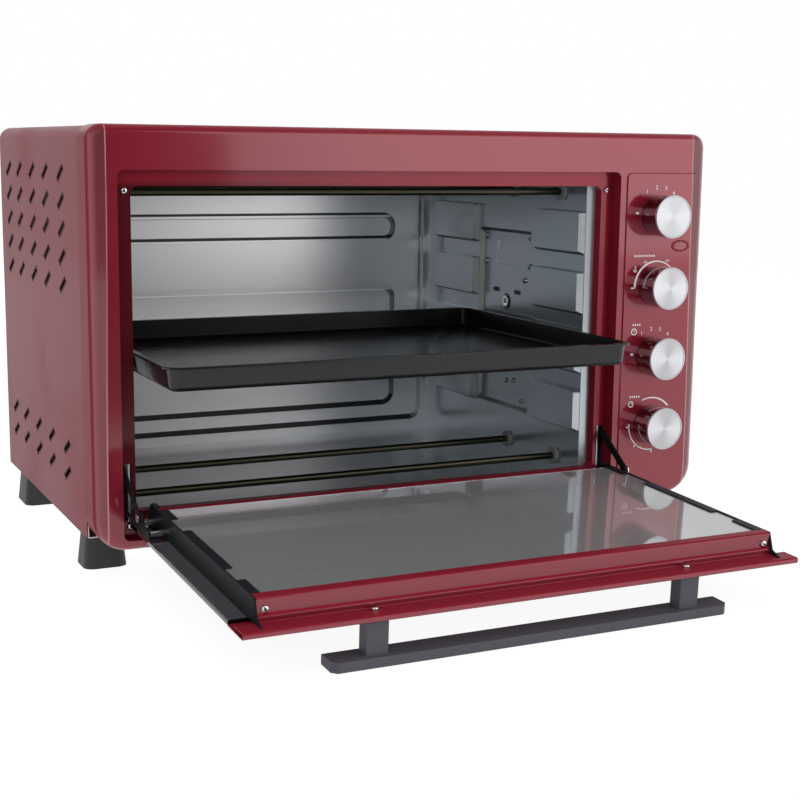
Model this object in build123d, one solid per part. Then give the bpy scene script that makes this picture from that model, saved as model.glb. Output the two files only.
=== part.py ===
from build123d import *
import math
import os

# Electric countertop oven in millimetres: X to the right, Y from front to back, Z up.
# It is drawn about the middle of its front face, with Z zero at the front frame's lower edge,
# and shows the door swung down and the tray drawn out. At the end every piece moves together,
# so that the origin is the middle of the foot of its bounding box.

# Cabinet
casing_width = 590.0
casing_height = 344.6
casing_depth = 360.0
foot_height = 24.0
side_rise = 5.7
frame_gauge = 1.0
frame_depth = 32.5
frame_edge_radius = 7.0
frame_top_radius = 13.0
frame_foot_radius = 28.0
wrap_gauge = 0.8
wrap_fit = 0.15
wrap_lap = 16.0
base_gauge = 0.8
base_lip = 12.0
base_slot = (60.0, 6.0)
base_slot_columns = (-160.0, 0.0, 160.0)
base_slot_rows = (110.0, 130.0, 150.0, 170.0)
cover_gauge = 0.8
cover_bulge = 9.0
cover_margin = 34.0
cover_corner = 14.0
cover_slot = (52.0, 5.0)
cover_slot_columns = (-150.0, -75.0, 0.0, 75.0, 150.0)
cover_slot_rows = (88.0, 100.0)
gland_radius = 6.5
gland_flange = 9.5
gland_length = 26.0
gland_bore = 3.4

# Door recess in the front frame, and the mouth of the cavity inside it
recess_left_margin = 23.85
recess_right_margin = 94.65
recess_top_band = 35.5
recess_foot = 8.4
recess_depth = 11.8
recess_corner = 6.0
ledge_width = 13.55
ledge_top = 13.1
mouth_foot = 30.5
lip_depth = 9.2

# Raised control panel at the right of the frame
panel_gap = 6.4
panel_margin = 7.6
panel_foot = 17.2
panel_top_band = 36.0
panel_rise = 1.2
panel_corner = 5.0

# Vent slits in the sides
slit_length = 24.0
slit_width = 4.4
slit_slope = 29.0
slit_columns = (98.3, 157.8, 212.9, 269.0, 318.6)
slit_rows = (47.9, 70.8, 210.9, 234.3, 257.7, 281.1, 304.4)

# Cavity
liner_gauge = 0.8
cavity_offset = -4.6
wall_inset = 3.7
floor_drop = 18.2
ceiling_rise = 2.0
back_space = 17.0
wall_flare = 1.5
floor_flare = 11.0
runner_rise = 7.0
runner_bevel = 1.5
runner_edge = 3.5
runner_count = 4
runner_pitch = 56.4
runner_height = 40.5
runner_top_drop = 26.5
front_runner_setback = 1.7
left_runner_setback = 16.0
front_runner_end = 112.0
rear_runner_room = (114.0, 17.0)
bead_width = 6.0
bead_depth = 3.0
bead_inset = 13.0
bead_corner = 12.0
bead_field_inset = 48.0
bead_fields = ((44.0, 174.8), (229.3, 254.7))

# Heater tubes
heater_radius = 3.3
heater_bore_fit = 0.1
bush_radius = 5.6
bush_collar_radius = 8.0
bush_collar = 3.0
bush_tail = 9.0
heater_tail = 6.0
lower_heater_rise = 19.7
upper_heater_drop = 8.5
heater_front = 67.0
heater_pitch = 91.0

# Spit drive, in a field of the right wall that is pressed outwards
drive_y = 175.2
drive_z = 173.5
drive_field_depth = 4.0
drive_field_gap = 1.8
drive_field_slope = 3.5
drive_field_band = (64.0, 248.0)
hatch_span = (155.1, 197.5)
hatch_band = (210.9, 237.2)
hatch_depth = 1.6
spindle_radius = 6.5
spindle_fit = 1.8
spindle_square = 6.4
spindle_stand = 2.0
socket_depth = 7.0
drive_shaft_radius = 3.0
drive_shaft_length = 14.0
drive_slot_length = 14.0
drive_slot_width = 4.4
drive_slot_offset = 21.7
drive_slot_rise = 10.8
motor_size = 50.0
motor_depth = 22.0
motor_corner = 8.0
motor_can_radius = 20.0
motor_can_length = 16.0
motor_post_radius = 4.0
motor_post_offset = 18.0
motor_gap = 0.6
wall_screw_places = ((220.5, 239), (220.5, 212), (128, 240), (129.6, 212.4), (138.9, 197.7),
                     (172.4, 91), (157.3, 93), (140.1, 73.8))

# Door, measured from its hinge pivot: u runs along it and v rises from its outer face
pivot_y = 6.2
pivot_z = 26.35
open_tilt = 2.08
door_side_gap = 5.45
door_top_gap = 3.35
glass_gauge = 4.0
outer_glass_heel = 6.5
rail_gauge = 1.0
rail_face_setback = 17.8
rail_ridge = 1.8
rail_ridge_level = 10.6
rail_height = 22.1
rail_hem = 4.8
rail_lap = 27.0
rail_flange = 31.0
rail_bend = 1.2
rail_screw_drop = 8.6
plate_gauge = 1.5
plate_inset = 5.8
plate_heel = 9.0
plate_tab = 6.5
plate_tab_spans = ((38.7, 65.3), (98.7, 195.0))
last_tab_length = 29.0
last_tab_gap = 0.9
inner_glass_heel = 36.8
bottom_rail_run = 28.0
bottom_rail_rise = 10.0

# Handle
handle_length = 331.4
handle_depth = 21.9
handle_gauge = 7.8
handle_drop = 33.4
handle_chamfer = 5.0
post_spacing = 261.6
post_width = 17.2
post_depth = 12.6

# Hinge, in three layers side by side in the ledge slot: bracket, leaf and stay arm
slot_offset = 7.4
slot_width = 8.4
slot_foot = 22.4
slot_top = 70.6
hinge_gauge = 1.5
hinge_gap = 0.5
hinge_pin_radius = 2.0
hinge_eye_radius = 5.0
running_fit = 0.05
leaf_tail = 60.0
stay_u = 36.0
stay_v = 16.6
stay_pin_radius = 2.0
stay_boss_radius = 4.2
stay_length = 80.0
stay_width = 7.2
stay_angle = 34.9
stay_tip_radius = 3.5
spring_hole_radius = 1.6
spring_reach = 140.0
spring_radius = 4.0
spring_wire = 0.7
spring_coils = 86.0
spring_eye = 3.2
anchor_radius = 1.5
bracket_foot = 22.0
bracket_band = 12.0
bracket_lug_radius = 3.6

# Tray
tray_closed_front = 25.55
tray_travel = 96.0
tray_back_gap = 2.85
tray_level = 1
tray_depth = 20.0
tray_gauge = 1.2
tray_rim = 1.7
tray_side_gap = 4.0
tray_runner_gap = 0.7
tray_runner_lift = 0.3
tray_corner = 14.0
tray_slope = 6.0

# Knobs and what they turn
knob_inset = 52.3
knob_top_drop = 75.6
knob_pitch = 66.3
knob_skirt_radius = 18.8
knob_front_radius = 19.9
knob_length = 21.8
knob_stand = 0.8
knob_wall = 2.2
knob_hub_radius = 5.5
cap_radius = 19.7
cap_gauge = 2.0
cap_proud = 1.6
shaft_radius = 3.0
shaft_in_knob = 14.0
shaft_in_control = 10.0
bushing_radius = 4.8
panel_hole_radius = 5.1
control_size = 38.0
control_depth = 24.0
timer_depth = 36.0
lens_x_from_knob = 25.9
lens_below_knob = 28.5
lens_length = 20.5
lens_height = 10.8
lens_gauge = 2.6
lens_fit = 0.1
lamp_radius = 4.6
lamp_length = 20.0

# Small fasteners
screw_head_radius = 2.7
screw_head = 1.4
screw_radius = 1.5
screw_length = 7.0
foot_screw_radius = 2.0
foot_bore_radius = 5.0

# Feet
foot_width = 37.0
foot_edge = 1.0
foot_flare = 3.0
foot_corner = 9.0
front_foot_span = (41.0, 77.0)
rear_foot_room = (78.0, 30.0)

# Derived places
half_casing = casing_width / 2
recess_shift = (recess_left_margin - recess_right_margin) / 2
recess_half_width = (casing_width - recess_left_margin - recess_right_margin) / 2
recess_top = casing_height - recess_top_band
mouth_half_width = recess_half_width - ledge_width
mouth_top = recess_top - ledge_top
ledge_back = recess_depth + frame_gauge
lip_back = ledge_back + lip_depth
wrap_half_width = half_casing - frame_gauge - wrap_fit
wrap_top = casing_height - frame_gauge - wrap_fit
cavity_x = recess_shift + cavity_offset
cavity_half_width = mouth_half_width - wall_inset
floor_z = mouth_foot - floor_drop
ceiling_z = mouth_top + ceiling_rise
cavity_back_y = casing_depth - back_space
runner_face = cavity_half_width - runner_rise
runner_tops = [ceiling_z - runner_top_drop - n * runner_pitch for n in reversed(range(runner_count))]
front_runner_start = lip_back + front_runner_setback
rear_runner_span = (cavity_back_y - rear_runner_room[0], cavity_back_y - rear_runner_room[1])
drive_field_span = (front_runner_end + drive_field_gap, rear_runner_span[0] - drive_field_gap)
rear_foot_span = (casing_depth - rear_foot_room[0], casing_depth - rear_foot_room[1])
panel_left = recess_shift + recess_half_width + panel_gap
panel_right = half_casing - panel_margin
panel_top = casing_height - panel_top_band
knob_x = half_casing - knob_inset
knob_top_z = casing_height - knob_top_drop
door_half_width = recess_half_width - door_side_gap
door_reach = recess_top - door_top_gap - pivot_z
plate_outside = mouth_half_width - plate_inset
plate_inside = plate_outside - plate_gauge
slot_center = mouth_half_width + slot_offset
bracket_x = slot_center - 1.5 * hinge_gauge - hinge_gap
leaf_x = bracket_x + hinge_gauge + hinge_gap
stay_x = leaf_x + hinge_gauge + hinge_gap
rail_face_u = door_reach - rail_face_setback
inner_glass_top = rail_height - rail_gauge
rail_screw_v = rail_height - rail_screw_drop
tray_rim_top = runner_tops[tray_level] + tray_runner_lift + tray_rim
tray_front = tray_closed_front - tray_travel
tray_length = cavity_back_y - tray_back_gap - tray_closed_front


def across(face, y_start, y_end):
    """Extrude a face drawn in X and Z from one depth to another."""
    placed = Plane((0, y_start, 0), x_dir=(1, 0, 0), z_dir=(0, -1, 0)) * face
    return extrude(placed, y_end - y_start, dir=(0, 1, 0))


def sideways(face, x_start, x_end):
    """Extrude a face drawn in Y and Z from one side to another."""
    low, high = sorted((x_start, x_end))
    placed = Plane((low, 0, 0), x_dir=(0, 1, 0), z_dir=(1, 0, 0)) * face
    return extrude(placed, high - low, dir=(1, 0, 0))


def block(x_range, y_range, z_range):
    """Box between three pairs of limits."""
    size = [high - low for low, high in (x_range, y_range, z_range)]
    center = [(high + low) / 2 for low, high in (x_range, y_range, z_range)]
    return Pos(*center) * Box(*size)


def rectangle(x_range, z_range, corner=0.0):
    """Flat rectangle between two pairs of limits, with rounded corners where asked."""
    width = x_range[1] - x_range[0]
    height = z_range[1] - z_range[0]
    place = Pos((x_range[0] + x_range[1]) / 2, (z_range[0] + z_range[1]) / 2)
    if corner > 0:
        return place * RectangleRounded(width, height, corner)
    return place * Rectangle(width, height)


def rod(radius, start, end):
    """Round bar from one point to another."""
    run = Vector(*end) - Vector(*start)
    return extrude(Plane(origin=start, z_dir=tuple(run)) * Circle(radius), run.length)


def strip(points, gauge, bend=0.0):
    """Section of a bent sheet: a line through the points, as wide as the sheet is thick."""
    line = FilletPolyline(*points, radius=bend) if bend > 0 else Polyline(*points)
    return trace(line, gauge)


def frame_outline(shrink):
    """Front outline of the cabinet, drawn in by the given distance."""
    low, high = shrink, casing_height - shrink
    side = half_casing - shrink
    outline = Polygon((-side, low), (side, low), (side, high), (-side, high), align=None)
    corners = outline.vertices()
    upper = [c for c in corners if c.Y > casing_height / 2]
    lower = [c for c in corners if c.Y < casing_height / 2]
    outline = fillet(upper, frame_top_radius - shrink)
    lower = [c for c in outline.vertices() if c.Y < low + 0.01]
    return fillet(lower, frame_foot_radius - shrink)


def recess_face(grow):
    """Door opening in the front frame, widened by the given distance."""
    half = recess_half_width + grow
    spans = (recess_shift - half, recess_shift + half), (recess_foot - grow, recess_top + grow)
    return rectangle(*spans, recess_corner + grow)


def mouth_face(grow):
    """Mouth of the cavity, widened by the given distance."""
    half = mouth_half_width + grow
    spans = (recess_shift - half, recess_shift + half), (mouth_foot - grow, mouth_top + grow)
    return rectangle(*spans, recess_corner + grow)


def knob_heights():
    """Heights of the four knobs, from the top down."""
    return [knob_top_z - n * knob_pitch for n in range(4)]


def lens_face(grow):
    """Oval of the indicator lens."""
    place = Pos(knob_x + lens_x_from_knob, knob_top_z - lens_below_knob)
    return place * Ellipse(lens_length / 2 + grow, lens_height / 2 + grow)


def frame_screw_places():
    """Centres of the four screws in the ledge."""
    side = mouth_half_width + ledge_width * 0.4
    low = slot_foot - screw_head_radius - 1.6
    high = mouth_top - 3.5
    return [(recess_shift + way * side, level) for way in (-1, 1) for level in (low, high)]


def make_front_frame():
    """One pressed sheet: face, side flange, door recess, ledge, mouth lip and raised panel."""
    shell = across(frame_outline(0), 0, frame_depth)
    shell = fillet(shell.faces().sort_by(Axis.Y)[0].edges(), frame_edge_radius)
    inside = across(frame_outline(frame_gauge), frame_gauge, frame_depth)
    inside = fillet(inside.faces().sort_by(Axis.Y)[0].edges(), frame_edge_radius - frame_gauge)
    panel_spans = (panel_left, panel_right), (panel_foot, panel_top)
    panel = across(rectangle(*panel_spans, panel_corner), -panel_rise, frame_gauge)
    panel = chamfer(panel.faces().sort_by(Axis.Y)[0].edges(), panel_rise * 0.7)
    hollow = across(rectangle(*panel_spans, panel_corner), -panel_rise, frame_gauge)
    hollow = Pos(0, frame_gauge, 0) * chamfer(hollow.faces().sort_by(Axis.Y)[0].edges(), panel_rise)
    shell = shell - inside + panel - hollow
    shell += across(recess_face(frame_gauge), frame_gauge / 2, ledge_back)
    shell -= across(recess_face(0), -1, recess_depth)
    shell += across(mouth_face(frame_gauge), recess_depth, lip_back)
    shell -= across(mouth_face(0), 0, lip_back + 1)
    for way in (-1, 1):
        middle = recess_shift + way * slot_center
        slot = (middle - slot_width / 2, middle + slot_width / 2), (slot_foot, slot_top)
        shell -= across(rectangle(*slot, slot_width / 5), 0, ledge_back + 1)
    for x, z in frame_screw_places():
        shell -= across(Pos(x, z) * Circle(screw_radius), 0, ledge_back + 1)
    for z in knob_heights():
        shell -= across(Pos(knob_x, z) * Circle(panel_hole_radius), -panel_rise - 1, frame_gauge + 1)
    return shell - across(lens_face(lens_fit), -panel_rise - 1, frame_gauge + 1)


def slit_face(y, z):
    """One slanted vent slit, drawn in Y and Z, rising towards the front."""
    length_end = slit_length / 2
    half_width = slit_width / 2
    outline = Polygon((-length_end, -half_width), (length_end - half_width, -half_width),
                      (length_end, half_width), (half_width - length_end, half_width), align=None)
    return Pos(y, z) * Rot(0, 0, -slit_slope) * outline


def make_casing_wrap():
    """Top and both sides in one bent sheet, with rows of vent slits in the sides."""
    side = wrap_half_width - wrap_gauge / 2
    top = wrap_top - wrap_gauge / 2
    bend = frame_top_radius - frame_gauge - wrap_gauge / 2
    path = (-side, side_rise), (-side, top), (side, top), (side, side_rise)
    wrap = across(strip(path, wrap_gauge, bend), frame_depth - wrap_lap, casing_depth)
    for way in (-1, 1):
        side = sorted((way * (half_casing + 1), way * (half_casing - frame_foot_radius)))
        wrap -= block(side, (0, frame_depth + wrap_fit), (0, frame_foot_radius + 1))
    slits = Sketch() + [slit_face(y, z) for y in slit_columns for z in slit_rows]
    return wrap - sideways(slits, -half_casing, half_casing)


def make_base_plate():
    """Floor of the cabinet, turned up at both sides inside the wrap."""
    side = wrap_half_width - wrap_gauge - base_gauge / 2
    level = side_rise + base_gauge / 2
    path = (-side, level + base_lip), (-side, level), (side, level), (side, level + base_lip)
    plate = across(strip(path, base_gauge, base_gauge), frame_depth, casing_depth)
    vents = [Pos(x, y) * SlotOverall(*base_slot) for x in base_slot_columns for y in base_slot_rows]
    plate -= extrude(Plane.XY.offset(side_rise - 1) * (Sketch() + vents), base_gauge + 2)
    for x, y in foot_centers():
        plate -= rod(foot_screw_radius, (x, y, side_rise - 1), (x, y, side_rise + base_gauge + 1))
    return plate


def make_rear_cover():
    """Back panel, pressed out in the middle, with two fields of vent slots and the lead's hole."""
    outer = (-wrap_half_width, wrap_half_width), (side_rise, wrap_top)
    outline = rectangle(*outer, frame_top_radius - frame_gauge)
    plate = across(outline, casing_depth, casing_depth + cover_gauge)
    field = [(low + cover_margin, high - cover_margin) for low, high in outer]
    back = Plane((0, casing_depth, 0), x_dir=(-1, 0, 0), z_dir=(0, 1, 0))
    flipped = [(-field[0][1], -field[0][0]), field[1]]
    bulge = extrude(back * rectangle(*flipped, cover_corner), cover_gauge + cover_bulge, taper=25)
    inner = [(low + cover_gauge, high - cover_gauge) for low, high in flipped]
    plate += bulge
    plate -= extrude(back * rectangle(*inner, cover_corner - cover_gauge), cover_bulge, taper=25)
    levels = [level for row in cover_slot_rows for level in (row, casing_height - row)]
    slots = [Pos(x, z) * SlotOverall(*cover_slot) for x in cover_slot_columns for z in levels]
    plate -= across(Sketch() + slots, casing_depth - 1, casing_depth + cover_bulge + 3)
    for x, z in case_screw_places():
        plate -= across(Pos(x, z) * Circle(screw_radius), casing_depth - 1, casing_depth + 3)
    x, z = gland_place()
    return plate - across(Pos(x, z) * Circle(gland_radius), casing_depth - 1, casing_depth + 3)


def gland_place():
    """Where the mains lead leaves the rear cover."""
    return wrap_half_width - 2 * cover_margin, side_rise + cover_margin / 2 + 1


def make_lead_gland():
    """Bush that the mains lead would pass through, snapped into the rear cover."""
    x, z = gland_place()
    start = casing_depth - 6
    body = rod(gland_radius, (x, start, z), (x, start + gland_length, z))
    for y in (casing_depth - 3, casing_depth + cover_gauge):
        body += rod(gland_flange, (x, y, z), (x, y + 3, z))
    return body - rod(gland_bore, (x, start - 1, z), (x, start + gland_length + 1, z))


def case_screw_places():
    """Screws round the rear cover."""
    inset = cover_margin / 3
    high, low = wrap_top - inset, side_rise + inset
    side = wrap_half_width - inset
    return [(x, z) for x in (-side, -side / 3, side / 3, side) for z in (low, high)]


def screw_facing_front(x, y, z):
    """Pan-head screw whose head faces the front."""
    head = rod(screw_head_radius, (x, y - screw_head, z), (x, y, z))
    head = fillet(head.edges().sort_by(Axis.Y)[0], screw_head * 0.6)
    return head + rod(screw_radius, (x, y, z), (x, y + screw_length, z))


def make_frame_screws():
    """Screws that hold the ledge to the cavity."""
    return [screw_facing_front(x, recess_depth, z) for x, z in frame_screw_places()]


def make_case_screws():
    """Screws that hold the rear cover."""
    screws = []
    for x, z in case_screw_places():
        face = casing_depth + cover_gauge
        head = rod(screw_head_radius, (x, face, z), (x, face + screw_head, z))
        screws.append(head + rod(screw_radius, (x, face - screw_length, z), (x, face, z)))
    return screws


def runner_pad(span, top_z, grow):
    """One embossed runner, a bevelled block standing in from the wall, drawn at the right wall."""
    low_z = top_z - runner_height
    base = rectangle((span[0] + grow, span[1] - grow), (low_z + grow, top_z - grow), 2)
    top = rectangle((span[0] + runner_bevel + grow, span[1] - runner_bevel - grow),
                    (low_z + runner_edge + grow, top_z - grow), 2)
    wall = Plane((cavity_half_width + liner_gauge, 0, 0), x_dir=(0, 1, 0), z_dir=(1, 0, 0))
    return loft([wall * base, wall.offset(grow - runner_rise - liner_gauge) * top])


def make_side_wall(side):
    """Cavity side wall with embossed tray runners, turned out at the front to meet the mouth's lip."""
    way = -1 if side == "left" else 1
    inner = cavity_half_width + liner_gauge / 2
    flare = max(inner, way * (recess_shift - cavity_x) + mouth_half_width + liner_gauge / 2)
    path = (inner, cavity_back_y), (inner, lip_back + wall_flare), (flare, lip_back)
    height = ceiling_z - floor_z + 2 * liner_gauge
    wall = Pos(0, 0, floor_z - liner_gauge) * extrude(strip(path, liner_gauge), height)
    wall = wall & block((0, casing_width), (lip_back, cavity_back_y), (0, casing_height))
    front = lip_back + left_runner_setback if side == "left" else front_runner_start
    for span in ((front, front_runner_end), rear_runner_span):
        for top_z in runner_tops:
            wall += runner_pad(span, top_z, 0)
            wall -= runner_pad(span, top_z, liner_gauge)
    for y, z in heater_places():
        wall -= rod(bush_radius, (cavity_half_width - 1, y, z), (cavity_half_width + 2, y, z))
    if side == "left":
        wall = mirror(wall, Plane.YZ)
    return Pos(cavity_x, 0, 0) * wall


def heater_places():
    """Y and Z of the four heater tubes: two low, two high."""
    heights = (floor_z + lower_heater_rise, ceiling_z - upper_heater_drop)
    return [(heater_front + n * heater_pitch, z) for z in heights for n in range(2)]


def drive_field(grow):
    """Field of the right wall that is pressed outwards to carry the spit drive, with sloped ends."""
    slope = drive_field_slope
    span, band = drive_field_span, drive_field_band
    wide = rectangle((span[0] - grow, span[1] + grow), (band[0] - grow, band[1] + grow), slope)
    small = rectangle((span[0] + slope - grow, span[1] - slope + grow),
                      (band[0] + slope - grow, band[1] - slope + grow), slope)
    wall = Plane((cavity_half_width, 0, 0), x_dir=(0, 1, 0), z_dir=(1, 0, 0))
    return loft([wall * wide, wall.offset(drive_field_depth + grow) * small])


def make_right_wall():
    """Right side wall, with the drive field, its hatch, its screw holes and vent slots."""
    wall = make_side_wall("right")
    wall += Pos(cavity_x, 0, 0) * drive_field(liner_gauge)
    face = drive_field_x()
    hatch = rectangle(hatch_span, hatch_band, 2)
    wall += sideways(offset(hatch, liner_gauge), face, face + hatch_depth + liner_gauge)
    wall -= Pos(cavity_x, 0, 0) * drive_field(0)
    wall -= sideways(hatch, face - 1, face + hatch_depth)
    holes = [Pos(y, z) * Circle(screw_radius) for y, z in wall_screw_places]
    holes += [Pos(drive_y, drive_z) * Circle(spindle_radius + spindle_fit)]
    holes += [Pos(drive_y + way * drive_slot_offset, drive_z + drive_slot_rise)
              * SlotOverall(drive_slot_length, drive_slot_width) for way in (-1, 1)]
    return wall - sideways(Sketch() + holes, face - 1, face + liner_gauge + 1)


def make_cavity_top():
    """Ceiling of the cavity, between the side walls."""
    x_range = (cavity_x - cavity_half_width, cavity_x + cavity_half_width)
    return block(x_range, (ledge_back, cavity_back_y), (ceiling_z, ceiling_z + liner_gauge))


def make_cavity_floor():
    """Floor of the cavity, sloped up at the front to the mouth's lip."""
    half = cavity_half_width
    level = floor_z - liner_gauge / 2
    path = (lip_back, mouth_foot), (lip_back + floor_flare, level), (cavity_back_y, level)
    floor = sideways(strip(path, liner_gauge), cavity_x - half, cavity_x + half)
    return floor & block((-half_casing, half_casing), (lip_back, cavity_back_y), (0, mouth_foot))


def bead_ring(x_half, z_range, grow):
    """Rounded groove that runs round a rectangle centred on the cavity."""
    reach = bead_width / 2 + grow
    outer = (-x_half - reach, x_half + reach), (z_range[0] - reach, z_range[1] + reach)
    inner = (reach - x_half, x_half - reach), (z_range[0] + reach, z_range[1] - reach)
    return rectangle(*outer, bead_corner + reach) - rectangle(*inner, bead_corner - reach)


def bead_faces(grow):
    """Pressed grooves of the back wall: one round its edge and one round each field."""
    edge = (floor_z + bead_inset, ceiling_z - bead_inset)
    rings = [bead_ring(cavity_half_width - bead_inset, edge, grow)]
    rings += [bead_ring(cavity_half_width - bead_field_inset, field, grow) for field in bead_fields]
    return Sketch() + rings


def make_cavity_back():
    """Back wall of the cavity with pressed grooves."""
    half = cavity_half_width + liner_gauge
    face = rectangle((-half, half), (floor_z - liner_gauge, ceiling_z + liner_gauge))
    wall = across(face, cavity_back_y, cavity_back_y + liner_gauge)
    wall += across(bead_faces(liner_gauge), cavity_back_y, cavity_back_y + bead_depth + liner_gauge)
    wall -= across(bead_faces(0), cavity_back_y - 1, cavity_back_y + bead_depth)
    return Pos(cavity_x, 0, 0) * wall


def make_heaters(level):
    """Pair of sheathed heater tubes across the cavity, with flat end tabs."""
    reach = cavity_half_width + bush_tail + heater_tail
    tubes = []
    for y, z in heater_places():
        if (z > (floor_z + ceiling_z) / 2) == (level == "upper"):
            tubes.append(rod(heater_radius, (cavity_x - reach, y, z), (cavity_x + reach, y, z)))
    return tubes


def make_heater_bushes():
    """Ceramic bushes that carry the heater tubes in the side walls."""
    bushes = []
    for y, z in heater_places():
        for way in (-1, 1):
            wall = cavity_x + way * cavity_half_width
            inner, outer = wall - way * bush_collar, wall + way * bush_tail
            bush = rod(bush_radius, (inner, y, z), (outer, y, z))
            bush += rod(bush_collar_radius, (inner, y, z), (wall, y, z))
            bore = rod(heater_radius + heater_bore_fit, (inner - way, y, z), (outer + way, y, z))
            bushes.append(bush - bore)
    return bushes


def drive_field_x():
    """Cavity side of the drive field."""
    return cavity_x + cavity_half_width + drive_field_depth


def make_drive_motor():
    """Geared motor behind the right wall, with a bore for its output shaft."""
    wall = drive_field_x() + liner_gauge
    start = wall + motor_gap
    end = start + motor_depth
    half = motor_size / 2
    case = block((start, end), (drive_y - half, drive_y + half), (drive_z - half, drive_z + half))
    case = fillet(case.edges().filter_by(Axis.X), motor_corner)
    case += rod(motor_can_radius, (end, drive_y, drive_z), (end + motor_can_length, drive_y, drive_z))
    for way in (-1, 1):
        y, z = drive_y + way * motor_post_offset, drive_z - motor_post_offset
        case += rod(motor_post_radius, (wall, y, z), (start, y, z))
    bore = (start - 1, drive_y, drive_z), (start + drive_shaft_length + 1, drive_y, drive_z)
    return case - rod(drive_shaft_radius + running_fit, *bore)


def make_drive_socket():
    """Turning socket with a square hole for the spit, on the motor's shaft."""
    inner = drive_field_x() - spindle_stand
    back = drive_field_x() + liner_gauge + motor_gap / 2
    socket = rod(spindle_radius, (inner, drive_y, drive_z), (back, drive_y, drive_z))
    socket = chamfer(socket.faces().sort_by(Axis.X)[0].edges(), 1)
    socket += rod(drive_shaft_radius, (back, drive_y, drive_z), (back + drive_shaft_length, drive_y, drive_z))
    square = Pos(drive_y, drive_z) * Rectangle(spindle_square, spindle_square)
    return socket - sideways(square, inner - 1, inner + min(socket_depth, back - inner - 1))


def make_wall_screws():
    """Screws of the drive field."""
    face = drive_field_x()
    return [rod(screw_head_radius, (face - screw_head, y, z), (face, y, z))
            + rod(screw_radius, (face, y, z), (face + screw_length, y, z)) for y, z in wall_screw_places]


def foot_spans(x_way, span):
    """Limits of one foot in X and Y."""
    outer = x_way * (half_casing - foot_edge)
    return sorted((outer, outer - x_way * foot_width)), span


def foot_centers():
    """Centres of the four feet."""
    spans = [foot_spans(way, span) for span in (front_foot_span, rear_foot_span) for way in (-1, 1)]
    return [(sum(x_range) / 2, sum(y_range) / 2) for x_range, y_range in spans]


def make_foot(x_way, span):
    """Moulded foot, narrower at the top, with a screw recess from below."""
    x_range, y_range = foot_spans(x_way, span)
    flare = [(low + foot_flare, high - foot_flare) for low, high in (x_range, y_range)]
    foot = loft([Plane.XY.offset(-foot_height) * rectangle(x_range, y_range, foot_corner),
                 Plane.XY.offset(side_rise) * rectangle(*flare, foot_corner - 1)])
    x, y = sum(x_range) / 2, sum(y_range) / 2
    foot -= rod(foot_bore_radius, (x, y, -foot_height - 1), (x, y, -6))
    return foot - rod(foot_screw_radius, (x, y, -7), (x, y, side_rise + 1))


def make_foot_screws():
    """Screws up through the feet into the base plate."""
    screws = []
    for x, y in foot_centers():
        head = rod(foot_bore_radius - 1, (x, y, -8.5), (x, y, -6))
        screws.append(head + rod(foot_screw_radius, (x, y, -6), (x, y, side_rise + base_gauge + 3)))
    return screws


def make_control(z, depth, round_back):
    """Switch, thermostat or timer behind the panel, with its bushing through the panel."""
    half = control_size / 2
    start = frame_gauge - panel_rise
    body = block((knob_x - half, knob_x + half), (start, depth), (z - half, z + half))
    body = fillet(body.edges().filter_by(Axis.Y), 4)
    body += rod(bushing_radius, (knob_x, -panel_rise - 0.4, z), (knob_x, start, z))
    if round_back:
        body += rod(half * 0.85, (knob_x, depth, z), (knob_x, depth + 10, z))
    for way in (-1, 1):
        x = knob_x + way * half * 0.6
        body += block((x - 3, x + 3), (depth, depth + 9), (z + half - 6, z + half - 5.2))
    return body - rod(shaft_radius + running_fit, (knob_x, -5, z), (knob_x, shaft_in_control + 0.5, z))


def make_shaft(z):
    """Flatted shaft between a knob and what it turns."""
    front = knob_back() - shaft_in_knob
    shaft = rod(shaft_radius, (knob_x, front, z), (knob_x, shaft_in_control, z))
    flat = block((knob_x - shaft_radius, knob_x + shaft_radius), (front - 1, knob_back()),
                 (z + shaft_radius * 0.6, z + shaft_radius + 1))
    return shaft - flat


def knob_back():
    """Depth of the knobs' rear edge, just clear of the panel."""
    return -panel_rise - knob_stand


def make_knob(z):
    """Knob moulding: a tapered skirt, a front web with a seat for the cap, and a bored hub."""
    back, front = knob_back(), knob_back() - knob_length
    seat = front + cap_gauge
    wall = knob_wall
    bore, bore_end = shaft_radius + running_fit, back - shaft_in_knob - 1
    half = Polygon(
        (knob_hub_radius, back), (bore, back), (bore, bore_end),
        (0, bore_end), (0, seat), (cap_radius - 1.2, seat), (cap_radius - 1.2, front),
        (knob_front_radius, front), (knob_skirt_radius, back), (knob_skirt_radius - wall, back),
        (knob_front_radius - wall, seat + wall), (knob_hub_radius, seat + wall), align=None)
    turned = revolve(Plane.XY * half, Axis.Y)
    key = block((-shaft_radius, shaft_radius), (bore_end, back),
                (shaft_radius * 0.6 + running_fit, shaft_radius + 1))
    return Pos(knob_x, 0, z) * (turned + key)


def make_knob_cap(z):
    """Spun metal cap in the front of a knob."""
    seat = knob_back() - knob_length + cap_gauge
    front = seat - cap_gauge - cap_proud
    half = Polygon((0, seat), (cap_radius - 1.3, seat), (cap_radius - 1.3, seat - cap_gauge),
                   (cap_radius, seat - cap_gauge), (cap_radius, front + 0.5), (cap_radius - 0.5, front),
                   (cap_radius - 1.2, front), (cap_radius - 1.6, front + 0.4), (0, front + 0.4), align=None)
    return Pos(knob_x, 0, z) * revolve(Plane.XY * half, Axis.Y)


def make_lens():
    """Oval red lens, flush with the panel."""
    lens = across(lens_face(0), -panel_rise - 0.3, lens_gauge - panel_rise)
    return fillet(lens.faces().sort_by(Axis.Y)[0].edges(), 0.4)


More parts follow.
